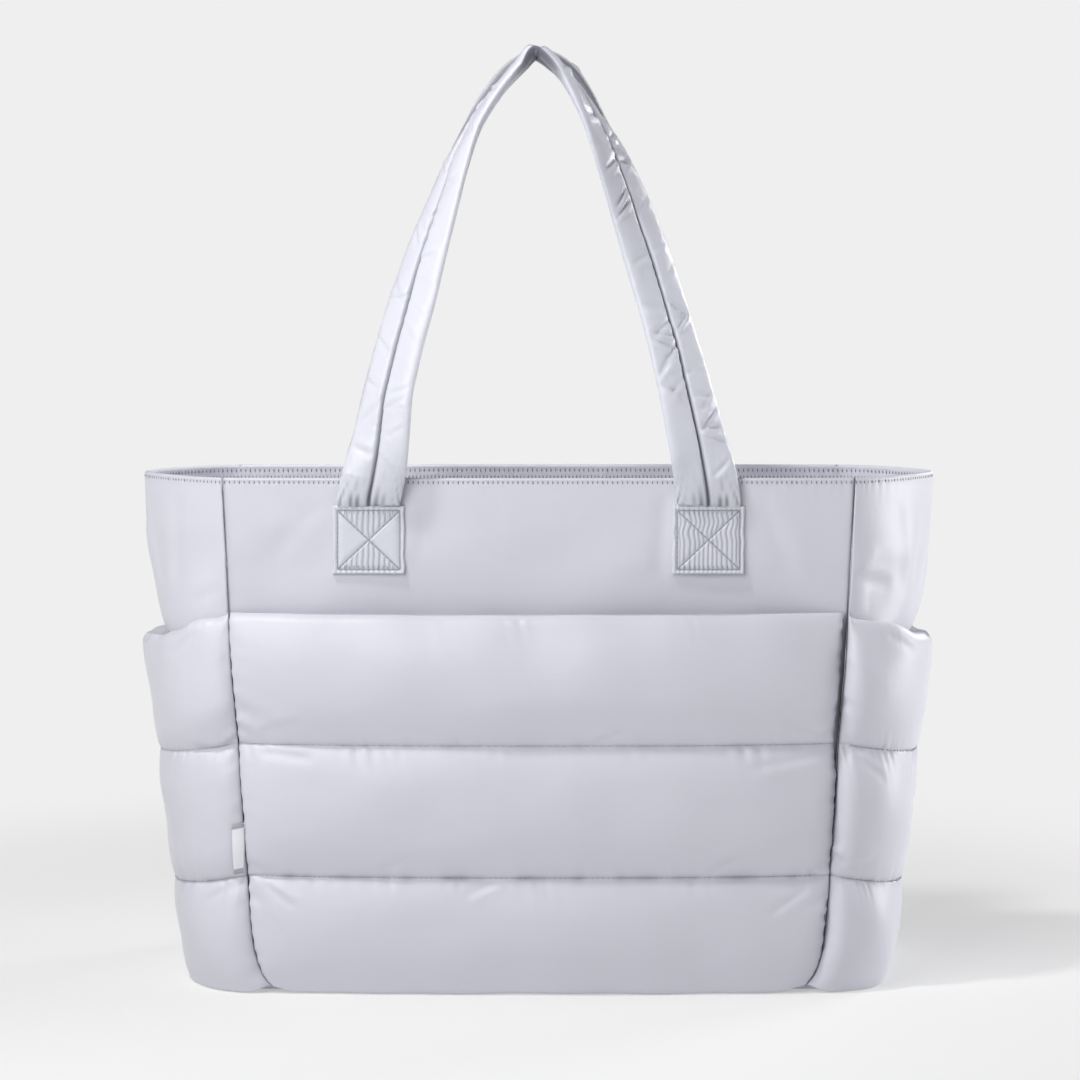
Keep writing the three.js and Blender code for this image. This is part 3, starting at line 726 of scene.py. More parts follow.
def swell(outer, inner, pinned):
    """How far the outer grid moves when air pressure fills the pad, at most AIR_REACH. pinned marks
    the points that stitches hold."""
    rows, columns = outer.shape[:2]
    faces, _ = grid_faces(rows, columns)
    start = np.concatenate([outer.reshape(-1, 3), inner.reshape(-1, 3)])
    form = make_mesh("pad_form", start, faces)
    held = np.concatenate([pinned.ravel(), np.ones(rows * columns, dtype=bool)])
    group = form.vertex_groups.new(name="sewn")
    group.add(np.flatnonzero(held).tolist(), 1.0, "REPLACE")
    cloth = form.modifiers.new("air", "CLOTH")
    cloth.settings.quality = 6
    cloth.settings.mass = 0.15
    cloth.settings.tension_stiffness = 20
    cloth.settings.compression_stiffness = 8
    cloth.settings.shear_stiffness = 6
    cloth.settings.bending_stiffness = 3.0
    cloth.settings.use_pressure = True
    cloth.settings.uniform_pressure_force = 4.0
    cloth.settings.vertex_group_mass = "sewn"
    cloth.settings.effector_weights.gravity = 0.0
    cloth.collision_settings.use_collision = False
    cloth.point_cache.frame_start = 1
    cloth.point_cache.frame_end = AIR_STEPS
    for step in range(1, AIR_STEPS + 1):
        scene.frame_set(step)
    view = bpy.context.evaluated_depsgraph_get()
    shaped = form.evaluated_get(view).to_mesh()
    end = np.empty(len(start) * 3)
    shaped.vertices.foreach_get("co", end)
    bpy.data.objects.remove(form)
    scene.frame_set(1)
    move = (end.reshape(-1, 3) / MM - start)[:rows * columns].reshape(rows, columns, 3)
    size = np.linalg.norm(move, axis=2, keepdims=True)
    return move * np.minimum(1, AIR_REACH / np.maximum(size, 1e-6))


def eased(move, count):
    """The move with its smallest ripples eased: each point goes to the mean of itself and its
    neighbours EASINGS times, except on the seams, where the cloth is held."""
    for _ in range(EASINGS):
        wide = np.pad(move, ((1, 1), (1, 1), (0, 0)), mode="edge")
        around = (wide[:-2, 1:-1] + wide[2:, 1:-1] + wide[1:-1, :-2] + wide[1:-1, 2:]) / 4
        move = (move + around) / 2
        move[::count] = 0
        move[:, [0, -1]] = 0
    return move


def air_filled(outer_at, inner_at, floor, columns_at, finer, crown_gap):
    """The outer and inner grids of a filled pad that begins at height floor, with their rows and
    columns. The coarse pad swells by simulation, and its move is carried to a grid that is finer
    times finer, scaled so that the channels' middles rise by crown_gap on average."""
    rows = quilt_rows(ROWS_A_CHANNEL * finer, floor)
    columns = columns_at(finer)
    face = outer_at(rows, columns)
    back_face = inner_at(rows, columns)
    coarse = quilt_rows(ROWS_A_CHANNEL, floor)
    outer = outer_at(coarse, columns_at(1))
    inner = inner_at(coarse, columns_at(1))
    pinned = np.zeros(outer.shape[:2], dtype=bool)
    pinned[::coarse.count] = True
    pinned[:, [0, -1]] = True
    move = eased(swell(outer, inner, pinned), coarse.count)
    rise = np.linalg.norm(move[coarse.count // 2::coarse.count, 4:-4], axis=2).mean()
    print("air raised the channels by", round(float(rise), 2), "mm, fitted to", crown_gap, "mm")
    move = move * min(crown_gap / max(rise, 0.1), 2.0)
    move = between(between(move, finer, 0), finer, 1)
    return face + move, rows, columns, back_face


# %% [markdown]
# ## The front pocket
# It has three channels. Its side edges are caught in the side seams and its mouth stands open a
# centimetre. In the photograph its gathers are short and shallow along the seams, a few creases run
# in from the lower corners, and the lowest channel rests on the floor.

# %% Seam gathers and pressed creases


def seam_relief(rows, along, seed, size):
    """Gathers along each quilting seam and the mouth, that differ above and below a seam."""
    total = np.zeros(np.broadcast_shapes(rows.z.shape, np.shape(along)))
    for k, z in enumerate([LOWER_SEAM, UPPER_SEAM, POCKET_HEIGHT]):
        away = rows.z - z
        above = away > 0
        strength = size * (0.45 if z == POCKET_HEIGHT else 1.0)
        upper = puckers(along, away, seed + 3 * k, 5.0, strength, 4.5, 13.0)
        lower = puckers(along, away, seed + 3 * k + 1, 6.0, strength, 4.5, 13.0)
        lift = np.clip(np.abs(away) / 1.5, 0, 1)
        total = total + np.where(above, upper, lower) * lift
    return total


def quilt_marks(rows, edge_far, along, seed):
    """Greyer cloth within a millimetre of the quilting seams and the sewn side edges, and painted shade
    that fades over some 4 mm beside a quilting seam, where the channel curves down into it. Along a
    quilting seam they come and go at random, and they are weaker at the upper seam."""
    tight = np.clip(0.28 + 0.3 * ripple(along, seed, 9, 60), 0.0, 0.8)
    tight = tight * np.where(rows.z > (LOWER_SEAM + UPPER_SEAM) / 2, 0.35, 1.0)
    close = 0.75 * np.exp(-rows.seam_far / 0.9) + 0.25 * np.exp(-rows.seam_far / 4.0)
    return np.maximum(tight * close, 0.12 * np.exp(-edge_far / 1.0))


def pad_relief(rows, along, edge_far, seeds, gather, wave, beside):
    """A whole pad's relief: gathers along the seams, soft waves that the seams hold down, and puckers
    beside the sewn side edges. seeds are for these three, gather is the seams' depth, wave holds the
    waves' height and lengths, and beside the puckers' reach and slant."""
    high, shortest, longest = wave
    reach, slant = beside
    relief = seam_relief(rows, along, seeds[0], gather)
    soft = high * waves(along, rows.z, seeds[1], shortest, longest)
    relief = relief + soft * np.clip(rows.seam_far / 25, 0, 1)
    return relief + puckers(rows.z, edge_far, seeds[2], reach, 0.5, 7, 22, slant)


def slot_at(z, across):
    """How far the front pocket stands off the wall: most at its mouth, nothing at its sewn sides."""
    up = np.clip((z - FLOOR_CLEARANCE) / (POCKET_HEIGHT - FLOOR_CLEARANCE), 0, 1)
    return PAD_GAP + SLOT_DEPTH * np.sin(up * math.pi / 2) ** 0.6 * (1 - across ** 4)


# %% The front pocket's grids


def front_columns(finer):
    """Places across the front or back between the side seams, from -1 to 1, closer near the seams."""
    q = np.linspace(0, 1, 72 * finer + 1)
    return mix(2 * q - 1, 2 * crowd(q) - 1, 0.6)[None, :]


def front_pad(rows, t, out):
    """The pocket's face that stands out by that much beyond the slot behind it. Uneven stitches draw
    both side edges in a little, and the top channel's right edge so far that a gap shows beside it."""
    b = body(rows.z)
    x = t * (b.seam - SEAM_GAP / 2)
    right = RIGHT_PULL * roll(rows.z - PULL_START, 30) + RAGGED * np.abs(ripple(rows.z, 77, 8, 30))
    left = RAGGED * np.abs(ripple(rows.z, 78, 8, 30))
    x = x - right * np.exp(-(1 - t) * b.seam / 12) + left * np.exp(-(1 + t) * b.seam / 8)
    y = -(wall_depth(b, t) + slot_at(rows.z, t) + out)
    z = rows.z + corner_lift(rows.z, (1 - np.abs(t)) * b.seam)
    return grid_of(x, y, z)


def front_outer(rows, t):
    """The face before it swells: START_SHARE of the crown, rolled at both side edges."""
    held = np.where(t < 0, LEFT_HELD, RIGHT_HELD)
    edge = edge_share((1 - np.abs(t)) * body(rows.z).seam, held, EDGE_ROLL)
    return front_pad(rows, t, thickness(rows, QUILT_CROWN * START_SHARE, edge))


def front_inner(rows, t):
    """The pocket's plain face towards the slot."""
    return front_pad(rows, t, 0.0)


face, rows, t, back_face = air_filled(front_outer, front_inner, FLOOR_CLEARANCE, front_columns, 3,
                                      QUILT_CROWN * (1 - START_SHARE))
out = normals(face, 1)
x = face[..., 0]
edge_far = (1 - np.abs(t)) * body(rows.z).seam
relief = pad_relief(rows, x, edge_far, (41, 52, 61), 0.24, (0.5, 50, 150), (9.0, 0.5))
corner_creases = [
    ((-162, 66), (-140, 50), 2.2, 0.9), ((-160, 52), (-146, 30), 2.4, 0.7),
    ((-166, 142), (-128, 138), 2.6, 0.7), ((-164, 152), (-134, 160), 2.8, 0.6),
    ((166, 140), (120, 132), 2.8, 0.8), ((168, 150), (138, 164), 2.8, 0.6),
    ((160, 64), (132, 46), 2.6, 0.8), ((70, 146), (40, 160), 2.6, 0.6),
    ((28, 145), (52, 156), 2.2, 0.5), ((-20, 69), (-44, 58), 2.4, 0.5),
    ((96, 70), (120, 82), 2.6, 0.5), ((-96, 70), (-70, 84), 2.8, 0.4),
]
relief = creased(relief, x, rows.z, corner_creases) * roll(edge_far, 5.0)
face = face + out * relief[..., None]
# Painted shade darkens the cloth in the gap at the right edge
gap_shade = 0.8 * np.exp(-((1 - t) * body(rows.z).seam / 2.2) ** 2) * roll(rows.z - LOWER_SEAM, 60)
pad_marks = np.maximum(quilt_marks(rows, edge_far, x, 81), gap_shade)
front_pocket_pad = slab("front_pocket_pad", face, back_face, pad_marks)
dress(front_pocket_pad, "shell", shell_cloth, lining_cloth)
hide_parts("front_pocket")
front_face = SimpleNamespace(grid=face, rows=rows, out=out)

# %% [markdown]
# ## The side pockets
# A side pocket wraps the bag's end from one side seam to the other. Its mouth and its seams dip
# towards the fold in the middle, because the pad turns there, and the pad is thinner at the turn.

# %% The two side pockets
MOUTH_CLOSED = 0.82
MOUTH_TURN = 16.0
SIDE_RADIUS = 76


def side_columns(finer):
    """Places round the bag's end from the front seam to the back one, from 0 to 1."""
    return crowd(np.linspace(0, 1, 48 * finer + 1))[None, :]


def side_pad(side, rows, turn, proud, share, held):
    """A side pocket's face, proud of the side curve by the pad's thickness times proud. Within
    MOUTH_TURN of the mouth its back lies in towards the side wall, by MOUTH_CLOSED of the way."""
    angle = math.pi * (turn - 0.5)
    dipped = np.maximum(np.cos(angle), 0) ** (2 / body(rows.z).pad)
    z = rows.z - rows.dip * dipped
    b = body(z)
    crown = mix(TIP_CROWN, QUILT_CROWN, np.abs(np.sin(angle)) ** 2) * share
    far = np.minimum(turn, 1 - turn) * math.pi * b.depth
    offset = PAD_GAP + thickness(rows, crown, edge_share(far, held, EDGE_ROLL)) * proud
    closed = (1 - proud) * MOUTH_CLOSED * np.exp(-(rows.mouth / MOUTH_TURN) ** 2)
    reach = mix(b.pocket, b.wall, closed)
    px, py = side_point(b, reach, mix(b.pad, b.front, closed), mix(b.pad, b.back, closed), angle, offset)
    z = z + corner_lift(z, far) - 2.5 * closed * dipped
    return grid_of(side * (px + SEAM_GAP / 2), py, z)


def side_pocket(name, node, side, seed, held, gather, creases):
    """One side pocket, swollen by air and then gathered along its seams."""
    face, rows, turn, back_face = air_filled(
        lambda rows, turn: side_pad(side, rows, turn, 1.0, START_SHARE + 0.06, held),
        lambda rows, turn: side_pad(side, rows, turn, 0.0, 1.0, held),
        FLOOR_CLEARANCE, side_columns, 3, 2.2)
    out = normals(face, side)
    along = (turn - 0.5) * math.pi * SIDE_RADIUS
    edge_far = np.minimum(turn, 1 - turn) * math.pi * SIDE_RADIUS
    seeds = (seed, seed + 20, seed + 30)
    relief = pad_relief(rows, along, edge_far, seeds, gather, (0.8, 45, 120), (8.0, 0.4))
    relief = creased(relief, along, rows.z, creases)
    # The mouth is a soft free edge, so it waves a little more than the seams do
    loose = 0.9 * ripple(along, seed + 40, 26, 60) * np.exp(-rows.mouth / 12)
    near_edge = roll(edge_far, 5.0)
    face = face + out * ((relief + loose) * near_edge)[..., None]
    back_face = back_face + out * (loose * near_edge)[..., None]
    piece = slab(name, face, back_face, quilt_marks(rows, edge_far, along, seed + 45))
    dress(piece, "shell", shell_cloth, lining_cloth)
    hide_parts(node)
    return SimpleNamespace(grid=face, rows=rows, out=out)


left_creases = [
    ((-112, 142), (-80, 150), 2.4, 0.7), ((-112, 66), (-88, 56), 2.4, 0.6),
    ((-96, 218), (-70, 204), 3.0, 0.7), ((-60, 74), (-40, 90), 2.6, 0.5),
]
right_creases = [
    ((-110, 140), (-84, 128), 2.4, 0.7), ((-110, 72), (-86, 84), 2.4, 0.6),
    ((-92, 216), (-60, 208), 3.0, 0.8), ((-52, 146), (-30, 132), 2.6, 0.5),
]
left_face = side_pocket("left_pocket_pad", "left_side_pocket", -1, 71, 0.6, 0.34, left_creases)
right_face = side_pocket("right_pocket_pad", "right_side_pocket", 1, 91, 0.2, 0.5, right_creases)

# %% [markdown]
# ## The back wall
# The photograph doesn't show it, so it is finished plainly in the same way: plain above, with three
# quilted channels below that line up with the pockets' seams.

# %% The back wall


def back_pad(rows, t, out):
    """The back wall's face that far beyond its wall."""
    b = body(rows.z)
    x = t * (b.seam - SEAM_GAP / 2)
    return grid_of(x, wall_depth(b, t) + out, rows.z)


def back_outer(rows, t):
    """The quilted face before it swells."""
    edge = edge_share((1 - np.abs(t)) * body(rows.z).seam, BACK_HELD, EDGE_ROLL)
    return back_pad(rows, t, thickness(rows, BACK_CROWN * START_SHARE, edge) - WALL)


def back_inner(rows, t):
    """The wall's plain inner face."""
    return back_pad(rows, t, -WALL)


face, rows, t, back_face = air_filled(back_outer, back_inner, WALL_FOOT, front_columns, 2,
                                      BACK_CROWN * (1 - START_SHARE))
out = normals(face, -1)
x = face[..., 0]
edge_far = (1 - np.abs(t)) * body(rows.z).seam
relief = pad_relief(rows, x, edge_far, (141, 152, 161), 0.24, (0.7, 50, 150), (9.0, 0.5))
relief = relief * roll(edge_far, 5.0) * np.clip(rows.mouth / 3, 0, 1)
face = face + out * relief[..., None]
# The plain top of the wall carries on from the pad's last row, on the same columns
top_z = np.concatenate([np.linspace(POCKET_HEIGHT, HEM_START, 23)[1:],
                        np.linspace(HEM_START, BAG_HEIGHT, 17)[1:]])[:, None]
top_level = body(top_z)
top_x = t * (top_level.seam - SEAM_GAP / 2)
top_far = (1 - np.abs(t)) * top_level.seam
calm = np.clip(top_far / 30, 0, 1) * off_facing(top_z) * np.clip((top_z - POCKET_HEIGHT) / 20, 0, 1)
top_move = 0.9 * waves(top_x, top_z, 111, 70, 170) * calm + hem_relief(top_z, top_x, 112)
top_middle = wall_depth(top_level, t) - WALL / 2 + top_move
top_half = WALL / 2 * edge_share(BAG_HEIGHT - top_z, EDGE_THIN, EDGE_WIDTH)
top_outer = grid_of(top_x, top_middle + top_half, top_z)
top_inner = grid_of(top_x, top_middle - top_half, top_z)
marks = np.concatenate([quilt_marks(rows, edge_far, x, 181), gather_marks(top_z, top_far)])
back_wall = slab("back_wall", np.concatenate([face, top_outer]),
                 np.concatenate([back_face, top_inner]), marks)
dress(back_wall, "shell", shell_cloth, lining_cloth)
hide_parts("back_panel")
back_surface = SimpleNamespace(grid=face, rows=rows, out=out)

# %% [markdown]
# ## The base and the facing
# The base is one stiffened panel of the same cloth. The facing is a dull band turned in behind the
# rim, and it gathers where the topstitching catches it. Both follow the walls' plan, so they are made
# from the same ring of points round the bag.

# %% A ring round the bag, the base and the facing


def plan(b, reach, offset):
    """Points round the bag at one height: along the front wall, round the right side, along the back
    wall and round the left side, all moved out by offset."""
    t = np.linspace(-1, 1, 2 * RING_STEPS + 1)[:-1]
    angle = math.pi * (np.linspace(0, 1, RING_STEPS + 1)[:-1] - 0.5)
    right_x, right_y = side_point(b, reach, b.front, b.back, angle, offset)
    left_x, left_y = side_point(b, reach, b.front, b.back, -angle, offset)
    depth = wall_depth(b, t) + offset
    return np.concatenate([np.stack([t * b.seam, -depth], axis=1), np.stack([right_x, right_y], axis=1),
                           np.stack([-t * b.seam, depth], axis=1), np.stack([-left_x, left_y], axis=1)])


def ring(z, offset, reach=None):
    """Points round the bag at height z, with their own offsets. reach stands in for the walls' own."""
    b = body(z)
    far = b.wall if reach is None else reach
    start = plan(b, far, 0.0)
    flat = start + (plan(b, far, 1.0) - start) * np.broadcast_to(offset, RING_POINTS)[:, None]
    return np.column_stack([flat, np.full(RING_POINTS, z)])


def loop_faces(loops, around):
    """Faces of a band whose rows are loops: closed round each loop, and also from the last loop to
    the first, so that the band is a closed body."""
    at = np.arange(loops * around).reshape(loops, around)
    on = np.roll(at, -1, axis=1)
    up = np.roll(at, -1, axis=0)
    far = np.roll(on, -1, axis=0)
    return np.stack([at.ravel(), on.ravel(), far.ravel(), up.ravel()], axis=1)


def capped_faces(loops, around):
    """Faces of a stack of loops with both its ends closed. An end has strips across it: each joins
    two neighbours on one side of the loop to the two opposite them."""
    side = loop_faces(loops, around)[:(loops - 1) * around]
    k = np.arange(around // 2 - 1)
    end = np.stack([k, k + 1, around - 2 - k, around - 1 - k], axis=1)
    return np.concatenate([side, end[:, ::-1], end + (loops - 1) * around])


def band(name, stations):
    """A closed band from a list of stations, each a height and an array of offsets round the bag."""
    loops = np.stack([ring(z, offset) for z, offset in stations])
    round_way = walked(loops[0])
    up_way = np.cumsum([0.0] + [abs(b[0] - a[0]) for a, b in zip(stations, stations[1:])])
    uv = np.stack(np.broadcast_arrays(round_way[None, :], up_way[:, None]), axis=2) * MM
    faces = loop_faces(*loops.shape[:2])
    corners = uv.reshape(-1, 2)[faces]
    # The last column of faces ends where the first begins, one whole turn further along the cloth
    turn = round_way.max() + np.linalg.norm(loops[0, 0] - loops[0, -1])
    corners[RING_POINTS - 1::RING_POINTS, 1:3, 0] = turn * MM
    piece = make_mesh(name, loops, faces, corners, marks=np.zeros(loops.shape[:2]))
    return piece, float(turn)


facing_top = BAG_HEIGHT - RIM_SETBACK
facing_gathers = 0.12 * ripple(walked(ring(BAG_HEIGHT, 0.0)), 201, 6.0, 12.0)
inset = WALL + SEAM_GAP
down = np.array([0.0, 0.4, 1.2, 2.4, 3.6, 4.2, 4.8, 6.2, 9.0, 13.0, 18.0, 23.0, 27.0, 28.0])
inner_side = []
outer_side = []
for d in down:
    near = math.exp(-max(d - HEM_STITCH, 0) / 6.0) * min(d / 2.0, 1.0)
    dent = 0.2 * math.exp(-((d - HEM_STITCH) / 0.8) ** 2)
    outer_side.append((facing_top - d, -inset - dent * 0.3))
    inner_side.append((facing_top - d, -inset - FACING_THICKNESS + dent + facing_gathers * near))
facing, facing_round = band("rim_facing_band", outer_side + inner_side[::-1])
dress(facing, "facing", lining_cloth)
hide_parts("rim_facing")

base_outline = ring(0.0, -SEAM_GAP, BASE_TIP)[:, :2]
print("base outline:", base_outline.min(axis=0), base_outline.max(axis=0))
shrink = np.array([0.35, 0.7, 0.93, 0.985, 0.997, 1.0, 1.0, 0.997, 0.985, 0.93, 0.7, 0.35])
base_z = np.array([0.0, 0.0, 0.0, 0.15, 0.6, 1.2, 2.8, 3.4, 3.85, 4.0, 4.0, 4.0])
base_loops = np.stack([np.column_stack([base_outline * s, np.full(RING_POINTS, z)])
                       for s, z in zip(shrink, base_z)])
base_uv = base_loops[..., :2] * MM
base = make_mesh("base_cloth", base_loops, capped_faces(*base_loops.shape[:2]), base_uv,
                 marks=np.zeros(base_loops.shape[:2]))
dress(base, "shell", shell_cloth)
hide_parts("base_panel")

# %% [markdown]
# ## Handles
# A handle is a strip of taffeta folded round a strip of wadding. The raw edges meet in the middle and
# are sewn down, which leaves a sharp groove between two soft rolls. The strap is worked out as a
# section carried along a smooth line. The line follows the legs, and the section turns until both
# straps lie back to back at the top.

# %% The strap's line and section


def smooth_line(points, per):
    """A centripetal Catmull-Rom curve through points: between two of them it is a cubic whose end
    slopes weigh the neighbours by the square root of their distance. per is the steps between two."""
    points = np.concatenate([2 * points[:1] - points[1:2], points, 2 * points[-1:] - points[-2:-1]])
    gap = np.sqrt(np.linalg.norm(np.diff(points, axis=0), axis=1))[:, None]
    a, b, c, d = points[:-3], points[1:-2], points[2:-1], points[3:]
    g0, g1, g2 = gap[:-2], gap[1:-1], gap[2:]
    m1 = g1 * ((b - a) / g0 - (c - a) / (g0 + g1) + (c - b) / g1)
    m2 = g1 * ((c - b) / g1 - (d - b) / (g1 + g2) + (d - c) / g2)
    s = (np.arange(per) / per)[None, :, None]
    b, c, m1, m2 = (v[:, None, :] for v in (b, c, m1, m2))
    curve = (b + s * m1 + s ** 2 * (-3 * b + 3 * c - 2 * m1 - m2) + s ** 3 * (2 * b - 2 * c + m1 + m2))
    return np.concatenate([curve.reshape(-1, 3), points[-2:-1]])


def strap_stations(table, face, spread):
    """The strap's stations from its left end to its right one, as rows of x, y, z, width, thickness
    and turn. Each leg starts flat behind its foot patch and fills out just above it."""
    foot_top = BAG_HEIGHT - FOOT_DROP
    apex = BAG_HEIGHT + HANDLE_RISE
    flat = 1.4

    def on_wall(z, thick):
        b = body(min(z, BAG_HEIGHT))
        return float(wall_depth(b, spread / RIM_SEAM)) + PAD_GAP + thick / 2

    clear = on_wall(BAG_HEIGHT, STRAP_THICKNESS) + STRAP_EASE

    def leg(sign, share, turn):
        rows = []
        for down, thick in ((16.0, 1.0), (8.0, flat), (1.0, flat + 0.4)):
            z = foot_top - down
            rows.append([sign * spread, face * on_wall(z, thick), z, STRAP_WIDTH, thick, 0.0])
        thick = STRAP_THICKNESS * 0.78
        z = foot_top + 2.6
        rows.append([sign * spread, face * on_wall(z, thick), z, STRAP_WIDTH, thick, 0.0])
        for r in table:
            rows.append([sign * spread * r[share], face * mix(clear, HANDLE_PARTING / 2, r[3]),
                         mix(foot_top, apex, r[0]), STRAP_WIDTH * r[6], STRAP_THICKNESS * r[7], r[turn]])
        return rows

    return np.array(leg(-1, 1, 4) + leg(1, 2, 5)[:-1][::-1])


LOBE_SAMPLES = 13
STEPS_A_STATION = 22
GROOVE = 0.055
# Painted shade down the upper right leg: how dark, where along the strap, and how far it reaches
RIGHT_LEG_SHADE = 0.4
RIGHT_LEG_SHADE_PLACE = 0.62
RIGHT_LEG_SHADE_REACH = 0.11


def strap_section():
    """The strap's section from -1 to 1 across: two rolls, each the root of 1 minus a power, with a
    narrow sewn groove between them. Returns across, outer height and inner height."""
    half = np.concatenate([[0.0, 0.012, 0.028, 0.05, 0.085],
                           mix(0.13, 1.0, np.sin(np.linspace(0, math.pi / 2, LOBE_SAMPLES)))])
    across = np.concatenate([-half[:0:-1], half])
    edge = np.maximum(1 - np.abs(across) ** 3.0, 0) ** 0.5
    slit = np.exp(-(np.abs(across) / GROOVE) ** 1.5)
    front = edge * (1 - 0.86 * slit)
    back = -0.9 * edge * (1 - 0.45 * np.exp(-(across / 0.16) ** 2))
    return across, front, back


def strap_creases(along, across, seed, total):
    """Pressed creases in a strap: seeded valleys that lean across one roll each. They are deeper and
    more on the right leg, where the strap bends more."""
    pick = np.random.default_rng(seed)
    count = 60
    place = np.concatenate([pick.uniform(0.06, 0.45, 22), pick.uniform(0.52, 0.95, 38)]) * total
    lobe = pick.choice([-0.5, 0.5], count) + pick.uniform(-0.15, 0.15, count)
    lean = pick.uniform(2, 20, count) * pick.choice([-1, 1], count, p=[0.35, 0.65])
    width = pick.uniform(1.0, 2.6, count)
    depth = pick.uniform(0.2, 0.7, count) * np.where(place > total * 0.5, 2.8, 1.7)
    field = np.zeros(np.broadcast_shapes(along.shape, across.shape))
    for p, l, k, w, d in zip(place, lobe, lean, width, depth):
        off = (along - p - k * (across - l)) / w
        reach = np.exp(-((across - l) / 0.34) ** 4)
        field = field + d * reach * (0.75 * np.exp(-((off - 1.7) / 1.2) ** 2) - np.exp(-off ** 2))
    return field


def strap(name, node, table, face, spread, seed):
    """One handle: the section carried along the line, with puckers beside the groove and creases."""
    stations = strap_stations(table, face, spread)
    line = smooth_line(stations[:, :3], STEPS_A_STATION)
    at = np.arange(len(line)) / STEPS_A_STATION
    known = np.arange(len(stations))
    width, thick, turn = (np.interp(at, known, stations[:, k]) for k in (3, 4, 5))
    turn = np.radians(turn)
    along_way = unit(np.gradient(line, axis=0))
    to_face = np.array([0.0, face, 0.0])
    inward = unit(-face * np.cross(along_way, to_face))
    across_way = unit(inward * np.cos(turn)[:, None] + to_face * np.sin(turn)[:, None])
    out_way = unit(-face * np.cross(across_way, along_way))
    walk = walked(line)
    across, front, back = strap_section()
    loose = np.clip((walk - 26) / 14, 0, 1) * np.clip((walk[-1] - 26 - walk) / 14, 0, 1)
    s = walk[:, None]
    a = across[None, :]
    relief = strap_creases(s, a, seed, walk[-1])
    relief = relief + puckers(s, a * STRAP_WIDTH / 2, seed + 1, 4.0, 0.22, 4, 11, 0.5)
    relief = relief + 0.25 * waves(s, a * STRAP_WIDTH / 2, seed + 2, 18, 60)
    relief = relief * loose[:, None] * (1 - np.abs(a) ** 4)
    # The strap is gathered where the patch holds its ends, and pinched at the very top
    above = np.minimum(s, walk[-1] - s) - 16
    tucked = np.exp(-np.maximum(above, 0) / 8) * np.clip(above / 1.5, 0, 1)
    base_gathers = 0.55 * ripple(a * (1 + above / 40) * STRAP_WIDTH / 2, seed + 3, 3.4, 6.5) * tucked
    pinch = np.exp(-((s - walk[-1] / 2) / 1.8) ** 2) if face < 0 else np.zeros_like(s)
    relief = relief + base_gathers - 2.4 * pinch
    thick = thick * (1 - 0.35 * pinch[:, 0])
    top = front[None, :] * thick[:, None] / 2 + relief * np.clip(front[None, :] * 1.5, 0, 1)
    low = back[None, :] * thick[:, None] / 2
    place = line[:, None, :] + across_way[:, None, :] * (a * width[:, None] / 2)[..., None]
    upper = place + out_way[:, None, :] * top[..., None]
    under = (place + out_way[:, None, :] * low[..., None])[:, 1:-1][:, ::-1]
    loops = np.concatenate([upper, under], axis=1)
    round_way = np.concatenate([across, across[1:-1][::-1]]) * STRAP_WIDTH / 2
    uv = np.stack(np.broadcast_arrays(round_way[None, :], walk[:, None]), axis=2) * MM
    # Painted shade darkens the cloth in the groove, in the gathers and the tuck above the patch, and in
    # the pinched fold at the top
    groove_marks = 0.9 * np.exp(-(np.abs(a) / 0.05) ** 1.5) + 0 * s
    strap_painted_shade = np.clip(-base_gathers * 1.6, 0, 0.8) + 0.25 * tucked * (1 - np.abs(a)) + pinch
    # Painted shade along the edges where the two straps face each other, once they have turned
    shade_between_straps = np.clip((np.degrees(turn) - 45) / 30, 0, 1)[:, None] * np.exp(-((1 + a) / 0.13) ** 2)
    strap_painted_shade = strap_painted_shade + (0.9 if face > 0 else 0.35) * shade_between_straps
    # Painted shade beyond the top, down the right leg, where the strap turns away from the light
    strap_painted_shade = strap_painted_shade + RIGHT_LEG_SHADE * np.exp(-((s / walk[-1] - RIGHT_LEG_SHADE_PLACE) / RIGHT_LEG_SHADE_REACH) ** 2)
    # Painted shade on the strap's underside near the top, reaching far down the back strap, where the
    # straps shade each other
    underside_shade_reach, underside_shade_strength = (110, 0.75) if face > 0 else (20, 1.0)
    underside_shade = underside_shade_strength * np.exp(-((s - walk[-1] / 2) / underside_shade_reach) ** 4) + 0 * a[:, 1:-1]
    marks = np.concatenate([np.clip(groove_marks + strap_painted_shade, 0, 1), underside_shade], axis=1)
    piece = make_mesh(name, loops, capped_faces(*loops.shape[:2]), uv, marks=marks)
    dress(piece, "strap", strap_cloth)
    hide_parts(node)
    print(name, "is", round(float(walk[-1])), "mm long")


strap("front_strap", "front_handle", FRONT_HANDLE, -1, FRONT_SPREAD, 301)
strap("back_strap", "back_handle", BACK_HANDLE, 1, BACK_SPREAD, 331)

# %% [markdown]
# ## Foot patches
# Each strap end is covered by a square of the same cloth, sewn down with a box and a cross. Stitches
# pull the cloth down, so it stands up in four small cushions between the lines and gathers across
# them. The two patches are not alike, because no two are when sewn by hand.

# %% The four patches
PATCH_INSET = 2.8
STITCH_LINES_W = FOOT_WIDTH / 2 - PATCH_INSET
STITCH_LINES_H = FOOT_HEIGHT / 2 - PATCH_INSET
FRONT_PATCH_GRID = (101, 96)
BACK_PATCH_GRID = (71, 68)


def line_distance(x, y, start, end):
    """Distance to a straight stitch line from start to end, in millimetres."""
    run = np.array(end, dtype=float) - np.array(start, dtype=float)
    size = math.hypot(*run)
    along = np.clip(((x - start[0]) * run[0] + (y - start[1]) * run[1]) / size, 0, size)
    near_x = start[0] + along * run[0] / size
    near_y = start[1] + along * run[1] / size
    return np.hypot(x - near_x, y - near_y)


